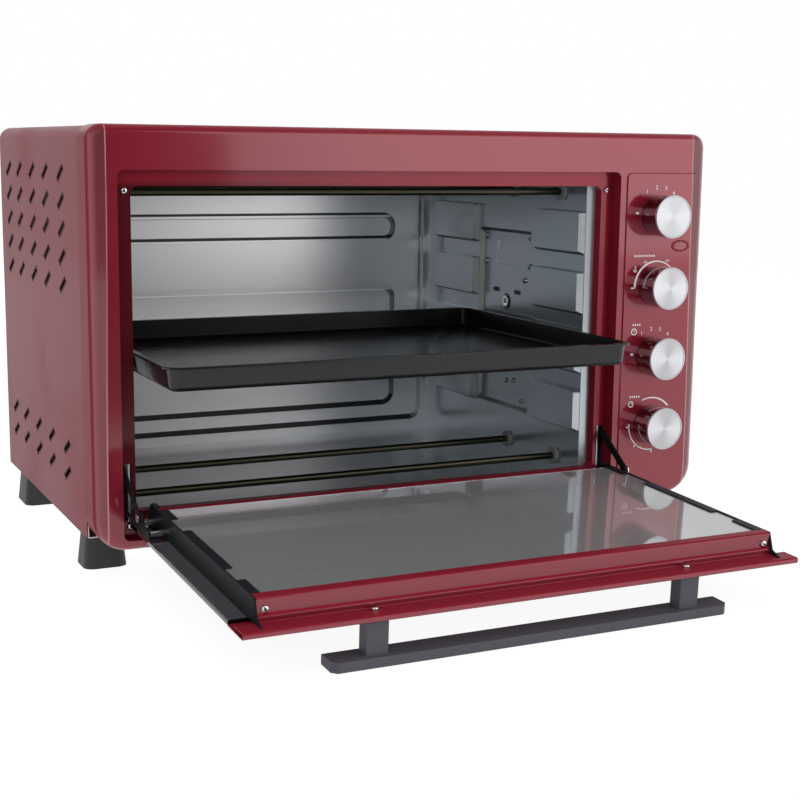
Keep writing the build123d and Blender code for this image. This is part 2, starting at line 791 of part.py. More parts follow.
def make_lamp():
    """Neon lamp in its holder behind the lens."""
    x, z = knob_x + lens_x_from_knob, knob_top_z - lens_below_knob
    start = lens_gauge - panel_rise
    lamp = rod(lamp_radius, (x, start, z), (x, start + lamp_length, z))
    return lamp + rod(lamp_radius + 1.4, (x, start + 4, z), (x, start + 8, z))


def door_place():
    """From the door's flat drawing, with its hinge pin at the origin, to its place when open."""
    return Pos(0, pivot_y, pivot_z) * Rot(open_tilt, 0, 0)


def door_sheet(points, gauge, half_width, bend=0.0):
    """Bent sheet of the door from points in u and v, as wide as asked."""
    section = strip([(-u, v - pivot_y) for u, v in points], gauge, bend)
    return sideways(section, recess_shift - half_width, recess_shift + half_width)


def door_block(x_range, u_range, v_range):
    """Box of the door between limits in X, u and v."""
    y_range = (-u_range[1], -u_range[0])
    return block(x_range, y_range, [v - pivot_y for v in v_range])


def door_rod(radius, start, end):
    """Round bar of the door from points in X, u and v."""
    return rod(radius, *[(x, -u, v - pivot_y) for x, u, v in (start, end)])


def make_outer_glass():
    """Full-width outer pane."""
    sides = (recess_shift - door_half_width, recess_shift + door_half_width)
    pane = door_block(sides, (outer_glass_heel, door_reach - rail_flange), (0, glass_gauge))
    return chamfer(pane.edges().filter_by(Axis.Y), 0.6)


def make_inner_glass():
    """Inner pane, held down by the tabs of the side plates and the top rail."""
    half = plate_inside - 0.3
    sides = (recess_shift - half, recess_shift + half)
    reach = (inner_glass_heel, rail_face_u - rail_gauge - rail_bend)
    return door_block(sides, reach, (inner_glass_top - glass_gauge, inner_glass_top))


def make_top_rail():
    """Top rail of the door: lap over the inner glass, ridged face, flange and folded hem."""
    half_gauge = rail_gauge / 2
    face = rail_face_u - half_gauge
    ridge = face + rail_ridge
    points = ((door_reach - rail_lap, rail_height - half_gauge), (face, rail_height - half_gauge),
              (face, rail_ridge_level), (ridge, rail_ridge_level - rail_ridge),
              (ridge, rail_hem - half_gauge), (door_reach - half_gauge, rail_hem - half_gauge),
              (door_reach - half_gauge, half_gauge), (door_reach - rail_flange, half_gauge))
    rail = door_sheet(points, rail_gauge, door_half_width, rail_bend)
    for way in (-1, 1):
        near, far = recess_shift + way * plate_inside, recess_shift + way * (door_half_width + 1)
        rail -= door_block(sorted((near, far)), (0, door_reach + 1), (rail_hem, rail_height + 1))
        x = recess_shift + way * (plate_inside - 6)
        rail -= door_rod(screw_radius, (x, 0, rail_screw_v), (x, door_reach, rail_screw_v))
        post = recess_shift + way * post_spacing / 2
        rail -= door_rod(screw_radius, (post, handle_screw_u(), -1), (post, handle_screw_u(), rail_hem + 1))
    return rail


def handle_screw_u():
    """Place of the handle screws along the door."""
    return door_reach - rail_face_setback + rail_ridge + 4.6


def make_bottom_rail():
    """Sheet that closes the door's lower end between the panes."""
    start = inner_glass_heel - 1
    low = glass_gauge + rail_gauge / 2
    points = ((start, low), (bottom_rail_run, low), (outer_glass_heel + 3, low + bottom_rail_rise))
    return door_sheet(points, rail_gauge, plate_inside, rail_bend)


def make_side_plate(way):
    """Dark side plate with tabs over the inner glass and a foot on the top rail's flange."""
    low = glass_gauge
    outline = ((door_reach - 4, rail_hem), (door_reach - 14, rail_hem + 4), (rail_face_u - 1, rail_height),
               (plate_heel + 8, rail_height), (plate_heel, low + 9), (plate_heel, low),
               (door_reach - rail_flange, low), (door_reach - rail_flange, rail_hem))
    face = Polygon(*[(-u, v - pivot_y) for u, v in outline], align=None)
    near, far = recess_shift + way * plate_inside, recess_shift + way * plate_outside
    plate = sideways(face, near, far)
    tab_edge = near - way * plate_tab
    last_end = door_reach - rail_lap - last_tab_gap
    for start, end in plate_tab_spans + ((last_end - last_tab_length, last_end),):
        plate += door_block(sorted((tab_edge, near)), (start, end), (inner_glass_top, rail_height))
    hook = (plate_heel + 8, plate_heel + 20)
    return plate + door_block(sorted((near - way * 3, near)), hook, (inner_glass_top, rail_height))


def make_hinge_leaf(way):
    """Flat leaf from the hinge pin to the side plate, with a boss for the stay arm's pin."""
    start = recess_shift + way * leaf_x
    tail = Polygon(*[(-u, v - pivot_y) for u, v in (
        (0, 11.2), (24, 11.2), (stay_u - stay_boss_radius, stay_v), (stay_u + stay_boss_radius, stay_v),
        (stay_u + 8, 11), (leaf_tail, 11), (leaf_tail, glass_gauge + 0.4), (5, glass_gauge + 0.4), (0, 1.4))],
        align=None)
    face = tail + Circle(hinge_eye_radius) + Pos(-stay_u, stay_v - pivot_y) * Circle(stay_boss_radius)
    face -= Circle(hinge_pin_radius + running_fit)
    return sideways(face, start, start + way * hinge_gauge)


def make_hinge_spacers(way):
    """Two studs that join the side plate to the hinge leaf."""
    near, far = recess_shift + way * plate_outside, recess_shift + way * leaf_x
    return [door_rod(2.6, (near, u, 7.7), (far, u, 7.7)) for u in (20, 52)]


def make_stay_pin(way):
    """Pin of the stay arm, riveted in the hinge leaf."""
    start = recess_shift + way * (leaf_x + hinge_gauge)
    end = recess_shift + way * (stay_x + hinge_gauge + 0.3)
    pin = door_rod(stay_pin_radius, (start, stay_u, stay_v), (end, stay_u, stay_v))
    return pin + door_rod(3.4, (end, stay_u, stay_v), (end + way * 0.9, stay_u, stay_v))


def make_door_rivets():
    """Spacing studs and stay pins of both hinge leaves."""
    studs = [stud for way in (-1, 1) for stud in make_hinge_spacers(way)]
    return studs + [make_stay_pin(way) for way in (-1, 1)]


def stay_pin_place():
    """Y and Z of the stay arm's pin with the door open."""
    place = door_place() * Pos(0, -stay_u, stay_v - pivot_y)
    return place.position.Y, place.position.Z


def stay_tip_place():
    """Y and Z of the hole for the spring at the stay arm's free end."""
    y, z = stay_pin_place()
    angle = math.radians(stay_angle)
    return y + stay_length * math.cos(angle), z + stay_length * math.sin(angle)


def make_stay_arm(way):
    """Flat arm that runs through the ledge slot to the counterbalance spring."""
    half = stay_width / 2
    outline = Polygon((0, -half), (stay_length, -stay_tip_radius), (stay_length, stay_tip_radius), (0, half),
                      align=None)
    face = outline + Circle(half + 0.4) + Pos(stay_length, 0) * Circle(stay_tip_radius)
    face -= Circle(stay_pin_radius + running_fit)
    face -= Pos(stay_length, 0) * Circle(spring_hole_radius)
    start = recess_shift + way * stay_x
    return sideways(Pos(*stay_pin_place()) * Rot(0, 0, stay_angle) * face, start, start + way * hinge_gauge)


def make_hinge_bracket(way):
    """Bracket behind the ledge: a lug for the hinge pin, and a tail that anchors the spring."""
    tip_y, tip_z = stay_tip_place()
    anchor_y = tip_y + spring_reach
    tail_top = tip_z - spring_radius - 3
    tail_foot = tail_top - bracket_band
    lug = bracket_lug_radius
    outline = Polygon(
        (pivot_y, pivot_z - lug), (ledge_back + 6, pivot_z - lug), (ledge_back + 12, bracket_foot),
        (ledge_back + 40, bracket_foot), (ledge_back + 60, tail_foot), (anchor_y + 5, tail_foot),
        (anchor_y + 5, tip_z + 4), (anchor_y - 5, tip_z + 4), (anchor_y - 5, tail_top),
        (ledge_back + 10, tail_top), (ledge_back + 10, slot_top + 24), (ledge_back, slot_top + 24),
        (ledge_back, slot_top - 30), (ledge_back, pivot_z + lug), (pivot_y, pivot_z + lug), align=None)
    pivot = Pos(pivot_y, pivot_z)
    face = outline + pivot * Circle(lug) - pivot * Circle(hinge_pin_radius)
    start = recess_shift + way * bracket_x
    bracket = sideways(face, start, start + way * hinge_gauge)
    flange = sorted((start + way * hinge_gauge, start + way * 8.5))
    bracket += block(flange, (ledge_back, ledge_back + hinge_gauge), (slot_top + 4, slot_top + 24))
    pin_end = recess_shift + way * (stay_x + hinge_gauge + 3)
    return bracket + rod(anchor_radius, (start, anchor_y, tip_z), (pin_end, anchor_y, tip_z))


def make_hinge_pin(way):
    """Hinge pin, riveted in the bracket's lug."""
    start = recess_shift + way * bracket_x
    end = recess_shift + way * (leaf_x + hinge_gauge + 0.2)
    pin = rod(hinge_pin_radius, (start, pivot_y, pivot_z), (end, pivot_y, pivot_z))
    return pin + rod(3.2, (end, pivot_y, pivot_z), (end + way * 0.8, pivot_y, pivot_z))


def make_stay_spring(way):
    """Close-wound counterbalance spring between the stay arm and the bracket's anchor."""
    tip_y, z = stay_tip_place()
    anchor_y = tip_y + spring_reach
    x = recess_shift + way * (stay_x + hinge_gauge / 2)
    ring = spring_eye
    far_y = anchor_y + anchor_radius + running_fit - (ring - spring_wire)
    near = Pos(x, tip_y + ring, z) * Torus(ring, spring_wire)
    far = Pos(x, far_y, z) * Rot(0, 90, 0) * Torus(ring, spring_wire)
    middle = (tip_y + anchor_y) / 2
    start, end = middle - spring_coils / 2, middle + spring_coils / 2
    coils = rod(spring_radius, (x, start, z), (x, end, z))
    coils -= rod(spring_radius - 1, (x, start + 1, z), (x, end - 1, z))
    coils += rod(spring_wire, (x, tip_y + 2 * ring, z), (x, start, z))
    coils += rod(spring_wire, (x, end, z), (x, far_y - ring, z))
    return coils + near + far


def make_door_screws():
    """Two bright screws through the rail's face into the side plates."""
    screws = []
    for way in (-1, 1):
        x, v = recess_shift + way * (plate_inside - 6), rail_screw_v
        head = door_rod(screw_head_radius, (x, rail_face_u, v), (x, rail_face_u + screw_head, v))
        screws.append(head + door_rod(screw_radius, (x, rail_face_u - 5, v), (x, rail_face_u, v)))
    return screws


def post_x(way):
    """Centre of a handle post."""
    return recess_shift + way * post_spacing / 2


def make_handle_bar():
    """Flat handle bar with slanted ends."""
    half = handle_length / 2
    bar = door_block((recess_shift - half, recess_shift + half), (door_reach - handle_depth, door_reach),
                     (-handle_drop, handle_gauge - handle_drop))
    corners = bar.edges().filter_by(Axis.Z).group_by(Axis.Y)[0]
    bar = chamfer(corners, handle_chamfer)
    return fillet(bar.edges().filter_by(Axis.X), 1.2)


def make_handle_post(way):
    """Square post between the rail's flange and the handle bar."""
    x, u = post_x(way), handle_screw_u()
    sides = (x - post_width / 2, x + post_width / 2), (u - post_depth / 2, u + post_depth / 2)
    post = door_block(*sides, (handle_gauge - handle_drop, 0))
    post = fillet(post.edges().filter_by(Axis.Z), 0.8)
    return post - door_rod(screw_radius, (x, u, -12), (x, u, 1))


def make_handle_screws():
    """Screws down through the hem into the handle posts."""
    screws = []
    for way in (-1, 1):
        x, u = post_x(way), handle_screw_u()
        head = door_rod(screw_head_radius, (x, u, rail_hem), (x, u, rail_hem + screw_head))
        screws.append(head + door_rod(screw_radius, (x, u, -12), (x, u, rail_hem)))
    return screws


def make_tray():
    """Enamelled tray: rounded rim, sloped walls, flat floor."""
    rim_half = cavity_half_width - tray_side_gap
    body_half = runner_face - tray_runner_gap
    edge = rim_half - body_half
    middle = tray_front + tray_length / 2
    rim = Pos(0, middle) * RectangleRounded(2 * rim_half, tray_length, tray_corner)
    body = Pos(0, middle) * RectangleRounded(2 * body_half, tray_length - 2 * edge, tray_corner - edge)
    hollow = offset(body, -tray_gauge)
    top = Plane.XY.offset(tray_rim_top)
    tray = extrude(Plane.XY.offset(tray_rim_top - tray_rim) * rim, tray_rim)
    shell = extrude(top * body, -tray_depth, taper=tray_slope)
    shell = fillet(shell.faces().sort_by(Axis.Z)[0].edges(), 4)
    inside = extrude(top * hollow, tray_gauge - tray_depth, taper=tray_slope)
    inside = fillet(inside.faces().sort_by(Axis.Z)[0].edges(), 3)
    tray = fillet(tray.faces().sort_by(Axis.Z)[-1].edges(), 0.7)
    return Pos(cavity_x, 0, 0) * (tray + shell - inside)


def build_nodes():
    """Every node of the oven, by name, before the move to the final origin."""
    nodes = {
        "front_frame": make_front_frame(),
        "casing_wrap": make_casing_wrap(),
        "base_plate": make_base_plate(),
        "rear_cover": make_rear_cover(),
        "lead_gland": make_lead_gland(),
        "frame_screws": make_frame_screws(),
        "case_screws": make_case_screws(),
        "cavity_left_wall": make_side_wall("left"),
        "cavity_right_wall": make_right_wall(),
        "cavity_top": make_cavity_top(),
        "cavity_floor": make_cavity_floor(),
        "cavity_back": make_cavity_back(),
        "upper_heaters": make_heaters("upper"),
        "lower_heaters": make_heaters("lower"),
        "heater_bushes": make_heater_bushes(),
        "drive_motor": make_drive_motor(),
        "drive_socket": make_drive_socket(),
        "wall_screws": make_wall_screws(),
        "foot_screws": make_foot_screws(),
        "indicator_lens": make_lens(),
        "indicator_lamp": make_lamp(),
        "hinge_pins": [make_hinge_pin(way) for way in (-1, 1)],
        "stay_springs": [make_stay_spring(way) for way in (-1, 1)],
        "tray": make_tray(),
    }
    for side, way in (("left", -1), ("right", 1)):
        nodes[f"front_foot_{side}"] = make_foot(way, front_foot_span)
        nodes[f"rear_foot_{side}"] = make_foot(way, rear_foot_span)
        nodes[f"hinge_bracket_{side}"] = make_hinge_bracket(way)
        nodes[f"stay_arm_{side}"] = make_stay_arm(way)
    for name, z in zip(("function", "thermostat", "heater", "timer"), knob_heights()):
        depth = timer_depth if name == "timer" else control_depth
        nodes[f"{name}_control"] = make_control(z, depth, name == "timer")
        nodes[f"{name}_shaft"] = make_shaft(z)
        nodes[f"{name}_knob"] = make_knob(z)
        nodes[f"{name}_knob_cap"] = make_knob_cap(z)
    door = {
        "door_outer_glass": make_outer_glass(),
        "door_inner_glass": make_inner_glass(),
        "door_top_rail": make_top_rail(),
        "door_bottom_rail": make_bottom_rail(),
        "door_screws": make_door_screws(),
        "handle_bar": make_handle_bar(),
        "handle_posts": [make_handle_post(way) for way in (-1, 1)],
        "handle_screws": make_handle_screws(),
        "hinge_leaves": [make_hinge_leaf(way) for way in (-1, 1)],
        "door_rivets": make_door_rivets(),
    }
    for side, way in (("left", -1), ("right", 1)):
        door[f"door_plate_{side}"] = make_side_plate(way)
    for name, piece in door.items():
        pieces = piece if isinstance(piece, list) else [piece]
        nodes[name] = [door_place() * each for each in pieces]
    return nodes


def solids_of(piece):
    """The separate solids of a node, as one compound."""
    pieces = piece if isinstance(piece, list) else [piece]
    return Compound([solid for each in pieces for solid in each.solids()])


def main():
    """Build the oven, move it onto its origin and write one STEP file per node."""
    os.makedirs("parts", exist_ok=True)
    nodes = {name: solids_of(piece) for name, piece in build_nodes().items()}
    box = Compound(list(nodes.values())).bounding_box()
    shift = Vector(-box.center().X, -box.center().Y, -box.min.Z)
    for name, piece in nodes.items():
        export_step(Pos(shift) * piece, f"parts/{name}.step")
    stay_y, stay_z = stay_pin_place()
    places = {
        "shift": Vector(0, 0, 0), "door hinge": Vector(recess_shift, pivot_y, pivot_z),
        "stay pins": Vector(recess_shift, stay_y, stay_z),
        "drive": Vector(drive_field_x(), drive_y, drive_z),
        "top knob": Vector(knob_x, knob_back(), knob_top_z),
        "tray": Vector(cavity_x, tray_front, tray_rim_top),
    }
    print("size", box.size)
    for name, place in places.items():
        print(name, place + shift)


main()
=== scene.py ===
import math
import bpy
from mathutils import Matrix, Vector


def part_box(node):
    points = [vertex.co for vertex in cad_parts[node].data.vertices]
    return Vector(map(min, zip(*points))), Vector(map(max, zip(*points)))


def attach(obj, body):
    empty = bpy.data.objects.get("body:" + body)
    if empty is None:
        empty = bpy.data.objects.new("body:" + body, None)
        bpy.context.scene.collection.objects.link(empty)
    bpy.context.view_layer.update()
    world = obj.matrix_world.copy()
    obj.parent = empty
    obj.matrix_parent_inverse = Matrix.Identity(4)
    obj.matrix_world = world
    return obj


bl_info = {
    "name": "Countertop Oven Finish",
    "version": (1, 0, 0),
    "blender": (4, 5, 0),
    "location": "View3D > Sidebar > Oven",
    "description": "Gives a countertop oven its finishes, printed scales, screws and studio",
    "category": "Object",
}

import bmesh
import bpy
from bpy.props import FloatProperty, FloatVectorProperty, PointerProperty
from mathutils import Matrix, Vector

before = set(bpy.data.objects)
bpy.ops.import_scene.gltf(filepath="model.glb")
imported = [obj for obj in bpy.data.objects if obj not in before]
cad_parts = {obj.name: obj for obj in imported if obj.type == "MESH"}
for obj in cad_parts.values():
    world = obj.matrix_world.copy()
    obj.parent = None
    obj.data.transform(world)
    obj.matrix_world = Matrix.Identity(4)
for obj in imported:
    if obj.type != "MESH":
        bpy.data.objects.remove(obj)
MM = 0.001
CONTROLS = ("function", "thermostat", "heater", "timer")
PANEL_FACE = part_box("front_frame")[0].y

# Nodes that are screws, and the body that each rides on
SCREWS = {
    "frame_screws": "cabinet", "case_screws": "cabinet", "wall_screws": "cabinet",
    "door_screws": "door", "handle_screws": "door",
}
END_SHARE = 0.45  # of a screw's length: points farther than this from its middle are at an end
# Screw heads, in shares of a head's radius and of its dome: the dome's outline, then its cross, dark
# as the painted shadow in its recess
DOME_PROFILE = ((0.98, -0.1), (0.96, 0.25), (0.82, 0.62), (0.55, 0.88), (0.25, 0.99))
CROSS_REACH, CROSS_RISE = 1.1, 0.55

# Vent slits in the casing's sides, in mm: Y and Z of their middles, slope and half sizes
VENT_COLUMNS = (44.75, 104.25, 159.35, 215.45, 265.05)
VENT_ROWS = (71.9, 94.8, 234.9, 258.3, 281.7, 305.1, 328.4)
SLIT_SLOPE = math.radians(29.0)
SLIT_HIGH, SLIT_LONG, SLIT_SHORT = 2.2, 12.0, 9.8
LONG_GROWTH, SHORT_GROWTH = 1.62, 0.62  # of the slit's long and short corners, per mm of margin
# A thin dark ring round each slit, as the painted shadow of its pressed edge: its width, rise and
# sinking
VENT_SHADOW_WIDTH, VENT_SHADOW_HEIGHT, VENT_SHADOW_SINK = 1.5, 0.12, 0.1

# Where the painted highlight, painted shadow and gloss of the painted front change, in metres
EDGE_HEIGHTS, EDGE_STARTS = (0.05, 0.33), (0.2830, 0.2793)  # where the side edges start to round
MOUTH_REACH, MOUTH_TOP = 0.274, 0.345  # half width and top of the frame's mouth
MOUTH_DEPTHS = (PANEL_FACE + 6 * MM, PANEL_FACE + 10 * MM)  # from its front to its inner faces
ABOVE_DOOR = (0.12, 0.16)  # from the lowered door's rails to the frame above them
# Painted highlight along the inner line of the front's rounded side edges
EDGE_HIGHLIGHT = (0.9, 0.5, 0.52)
# Painted shadow on the faces inside the frame's mouth
MOUTH_SHADOW = (0.06, 0.004, 0.008)

# Painted shade and highlight in the grooves pressed in the cavity's back: brightness upwards from each
# height in mm
GROOVE_SHADING = (
    (0.0, 0.05), (76.0, 0.30), (195.3, 0.95), (202.5, 0.30), (250.0, 1.0), (252.8, 0.05),
    (256.6, 0.30), (275.4, 1.0), (278.2, 0.05), (282.0, 0.30), (305.5, 0.06),
)
GROOVE_TOP = 350.0
GROOVE_ENDS = (0.194, 0.204)  # from the grooves' middle, in metres: there the tones run out
# Painted highlight down the grooves' upright ends
GROOVE_END_HIGHLIGHT = (0.62, 0.64, 0.66)

# Pressed sheet: the painted shade under its steps, and what is left of the painted light facing the
# mouth before its rim
PAINTED_SHADE_UNDER_STEP = (0.03, 0.034, 0.04)
RIM_LIGHT = 0.3

FORWARD = (-0.80, -0.35)  # Y of a normal, from facing forwards to facing aside
RISE, FALL = (0.0, 1.0), (1.0, 0.0)
WHITE = (1.0, 1.0, 1.0, 1.0)
FLOAT, COLOR, VECTOR = "NodeSocketFloat", "NodeSocketColor", "NodeSocketVector"

# The studio: the floor's radius in metres, the strength that shows as white, and the camera
FLOOR_RADIUS = 3.2
WHITE_LEVEL = 1.18
CAMERA_PLACE = (-0.57015, -1.19118, 0.35255)
CAMERA_TURN, CAMERA_TILT, CAMERA_ROLL = (math.radians(v) for v in (25.685, 9.797, 0.713))
SENSOR_WIDTH, FOCAL_LENGTH = 36.0, 65.69


# Settings a user would change


def colour(name, description, value):
    """A colour property with its default."""
    return FloatVectorProperty(
        name=name, description=description, default=value, size=3, subtype="COLOR", min=0, max=1
    )


class OvenFinish(bpy.types.PropertyGroup):
    """Colours of the oven's finishes."""

    paint: colour("Paint", "Enamel of the casing and door rails", (0.245, 0.013, 0.028))
    # The floor, ceiling and sides take darker copies of the back's aluminised steel: painted shade
    liner: colour("Cavity back", "Aluminised steel of the cavity's back", (0.97, 0.97, 0.98))
    shaded_liner_level: colour(
        "Cavity floor", "Aluminised steel of the cavity's ceiling and floor", (0.62, 0.635, 0.65)
    )
    shaded_liner_side: colour("Cavity sides", "Aluminised steel of the cavity's sides", (0.40, 0.455, 0.51))
    dark_coat: colour("Dark coat", "Coating of the hinge parts", (0.012, 0.013, 0.016))
    handle: colour("Handle", "Coating of the handle", (0.100, 0.100, 0.118))
    enamel: colour("Tray enamel", "Enamel of the tray", (0.006, 0.006, 0.007))
    knob: colour("Knob", "Dark bright plating of the knobs", (0.30, 0.23, 0.25))
    cap: colour("Knob cap", "Spun aluminium of the knob caps", (0.57, 0.57, 0.59))
    printing: colour("Printing", "Ink of the scales round the knobs", (0.90, 0.87, 0.87))


class OvenPrinting(bpy.types.PropertyGroup):
    """Sizes of the scales printed round the knobs."""

    stroke: FloatProperty(
        name="Stroke", description="Width of a printed line",
        default=1.1 * MM, unit="LENGTH", min=0.0001,
    )
    ink: FloatProperty(
        name="Ink", description="Thickness of the ink", default=0.04 * MM, unit="LENGTH", min=0.00001
    )
    figure: FloatProperty(
        name="Figures", description="Height of the figures",
        default=5.4 * MM, unit="LENGTH", min=0.0005,
    )


class OvenScrews(bpy.types.PropertyGroup):
    """Sizes of the screw heads."""

    slot_width: FloatProperty(
        name="Recess width", description="Width of the cross recess",
        default=0.9 * MM, unit="LENGTH", min=0.0001,
    )
    dome: FloatProperty(
        name="Dome", description="Height of the domed heads",
        default=0.9 * MM, unit="LENGTH", min=0.0001,
    )


class OvenStudio(bpy.types.PropertyGroup):
    """Floor and light."""

    floor: colour("Floor", "Colour of the floor", (0.95, 0.95, 0.95))
    daylight: FloatProperty(
        name="Room light", description="Strength of the even light", default=0.48, min=0
    )
    front_room: FloatProperty(
        name="Front of the room", description="Brightness that gloss shows in front of the oven",
        default=0.05, min=0,
    )
    key: FloatProperty(
        name="Key light", description="Power of the large soft lamp at the right", default=21.0, min=0
    )
    top: FloatProperty(
        name="Top light", description="Power of the soft lamp above", default=9.0, min=0
    )
    fill: FloatProperty(
        name="Fill light", description="Power of the soft lamp at the left", default=7.0, min=0
    )


# Shader helpers


class Nodes:
    """Adds and links nodes of one node tree."""

    def __init__(self, tree):
        self.tree = tree

    def add(self, kind, settings=(), **inputs):
        """One node; an input takes a value, a socket or a node's first output."""
        node = self.tree.nodes.new(kind)
        for name, value in dict(settings).items():
            setattr(node, name, value)
        self.feed_all(node.inputs, **inputs)
        return node

    def feed(self, socket, value):
        """A value or a link into a socket; a colour without alpha gets one."""
        if isinstance(value, bpy.types.Node):
            value = value.outputs[0]
        if isinstance(value, bpy.types.NodeSocket):
            self.tree.links.new(value, socket)
        elif hasattr(value, "__len__"):
            parts = list(value)
            socket.default_value = parts + [1.0] * (len(socket.default_value) - len(parts))
        else:
            socket.default_value = value

    def feed_all(self, sockets, **values):
        """Values or links into sockets by name, with _ for a space."""
        for name, value in values.items():
            self.feed(sockets[name.replace("_", " ")], value)

    def math(self, kind, *values):
        """A math node of the given operation."""
        node = self.add("ShaderNodeMath", {"operation": kind})
        for socket, value in zip(node.inputs, values):
            self.feed(socket, value)
        return node

    def vector(self, kind, first, second=None):
        """A vector math node of the given operation on two vectors, or on one and its scale."""
        node = self.add("ShaderNodeVectorMath", {"operation": kind})
        self.feed(node.inputs[0], first)
        if second is not None:
            self.feed(node.inputs["Scale" if kind == "SCALE" else 1], second)
        return node

    def coordinate(self, kind="Object"):
        """A texture coordinate of the shaded point."""
        return self.add("ShaderNodeTexCoord").outputs[kind]

    def axes(self, vector):
        """X, Y and Z of a vector, by name."""
        return self.add("ShaderNodeSeparateXYZ", Vector=vector).outputs

    def noise(self, vector, scale, detail):
        """Soft noise from 0 to 1."""
        return self.add("ShaderNodeTexNoise", Vector=vector, Scale=scale, Detail=detail).outputs["Fac"]

    def blend(self, share, first, second, kind="RGBA"):
        """A colour or number that goes from the first to the second with its share."""
        node = self.add("ShaderNodeMix", {"data_type": kind}, Factor=share, A=first, B=second)
        return node.outputs["Result"]

    def tinted(self, shade, value, contrast):
        """A colour made darker and brighter by a value round 0."""
        return self.vector("SCALE", shade, self.math("MULTIPLY_ADD", value, contrast, 1.0))

    def steps(self, value, tones):
        """A brightness that changes at once at each place, from (place, brightness) pairs."""
        node = self.add("ShaderNodeValToRGB", Fac=value)
        elements = node.color_ramp.elements
        while len(elements) < len(tones):
            elements.new(0.5)
        for element, (place, tone) in zip(elements, tones):
            element.position = place
            element.color = (tone, tone, tone, 1.0)
        node.color_ramp.interpolation = "CONSTANT"
        return node.outputs["Color"]

    def span(self, value, source, target, kind="SMOOTHSTEP"):
        """A smooth change of a value from one pair of limits to another."""
        return self.add(
            "ShaderNodeMapRange", {"interpolation_type": kind}, Value=value,
            From_Min=source[0], From_Max=source[1], To_Min=target[0], To_Max=target[1],
        )

    def background_rays(self):
        """1 for camera, glossy and transmission rays, 0 for the others."""
        path = self.add("ShaderNodeLightPath").outputs
        first = self.math("MAXIMUM", path["Is Camera Ray"], path["Is Glossy Ray"])
        return self.math("MAXIMUM", first, path["Is Transmission Ray"])

    def group(self, name, **inputs):
        """Outputs of a placed node group."""
        tree = bpy.data.node_groups[name]
        return self.add("ShaderNodeGroup", {"node_tree": tree}, **inputs).outputs

    def bump(self, height, strength, depth):
        """A normal made uneven by a height."""
        return self.add("ShaderNodeBump", Height=height, Strength=strength, Distance=depth)

    def principled(self, **inputs):
        """The material's Principled shader, linked to its output."""
        shader = self.add("ShaderNodeBsdfPrincipled", **inputs)
        self.add("ShaderNodeOutputMaterial", Surface=shader)


def new_group(name, inputs, outputs):
    """A shader node group: its nodes, what it takes in and what it puts out."""
    tree = bpy.data.node_groups.new(name, "ShaderNodeTree")
    for key, (kind, value) in inputs.items():
        socket = tree.interface.new_socket(key, in_out="INPUT", socket_type=kind)
        socket.default_value = value
    for key, kind in outputs.items():
        tree.interface.new_socket(key, in_out="OUTPUT", socket_type=kind)
    nodes = Nodes(tree)
    return nodes, nodes.add("NodeGroupInput").outputs, nodes.add("NodeGroupOutput").inputs


def make_grain_group():
    """Rolled or brushed grain: fine streaks, drawn out by the stretch, over faint clouds."""
    made, start, end = new_group(
        "rolled grain",
        {"Color": (COLOR, WHITE), "Stretch": (VECTOR, (1, 1, 1)), "Scale": (FLOAT, 600.0),
         "Contrast": (FLOAT, 0.1), "Roughness": (FLOAT, 0.3), "Spread": (FLOAT, 0.1)},
        {"Color": COLOR, "Roughness": FLOAT, "Height": FLOAT},
    )
    place = made.coordinate()
    streaks = made.noise(made.vector("MULTIPLY", place, start["Stretch"]), start["Scale"], 4.0)
    clouds = made.noise(place, 14.0, 3.0)
    fine, wide = (made.math("SUBTRACT", noise, 0.5) for noise in (streaks, clouds))
    both = made.math("MULTIPLY_ADD", wide, 0.6, fine)
    made.feed_all(
        end, Color=made.tinted(start["Color"], both, start["Contrast"]),
        Roughness=made.math("MULTIPLY_ADD", both, start["Spread"], start["Roughness"]),
        Height=streaks,
    )


def make_coat_group():
    """Coated surface: cloudy tone, fine texture and faint handling marks."""
    made, start, end = new_group(
        "coated surface",
        {"Color": (COLOR, WHITE), "Scale": (FLOAT, 900.0), "Contrast": (FLOAT, 0.1),
         "Roughness": (FLOAT, 0.3), "Marks": (FLOAT, 0.05)},
        {"Color": COLOR, "Roughness": FLOAT, "Height": FLOAT},
    )
    place = made.coordinate()
    clouds = made.noise(place, 9.0, 4.0)
    marks = made.span(clouds, (0.5, 0.75), RISE, kind="LINEAR")
    made.feed_all(
        end, Color=made.tinted(start["Color"], made.math("SUBTRACT", clouds, 0.5), start["Contrast"]),
        Roughness=made.math("MULTIPLY_ADD", marks, start["Marks"], start["Roughness"]),
        Height=made.noise(place, start["Scale"], 2.0),
    )


def make_speckle_group():
    """Sparse specks of another tone, as in enamel."""
    made, start, end = new_group(
        "speckle",
        {"Color": (COLOR, (0, 0, 0, 1)), "Speck": (COLOR, WHITE), "Scale": (FLOAT, 700.0),
         "Amount": (FLOAT, 0.2)},
        {"Color": COLOR},
    )
    cells = made.add("ShaderNodeTexVoronoi", Vector=made.coordinate(), Scale=start["Scale"])
    near = made.math("LESS_THAN", cells.outputs["Distance"], start["Amount"])
    made.feed_all(end, Color=made.blend(near, start["Color"], start["Speck"]))


def make_facing_group():
    """How far a surface faces to a side, forwards, up and down, each from 0 to 1."""
    made, _, end = new_group(
        "facing", {}, {"Side": FLOAT, "Front": FLOAT, "Up": FLOAT, "Down": FLOAT}
    )
    normal = made.axes(made.coordinate("Normal"))
    made.feed_all(
        end, Side=made.span(made.math("ABSOLUTE", normal["X"]), (0.6, 0.95), RISE),
        Front=made.span(normal["Y"], FORWARD, FALL),
        Up=made.span(normal["Z"], (0.10, 0.55), RISE),
        Down=made.span(normal["Z"], (-0.55, -0.10), FALL),
    )


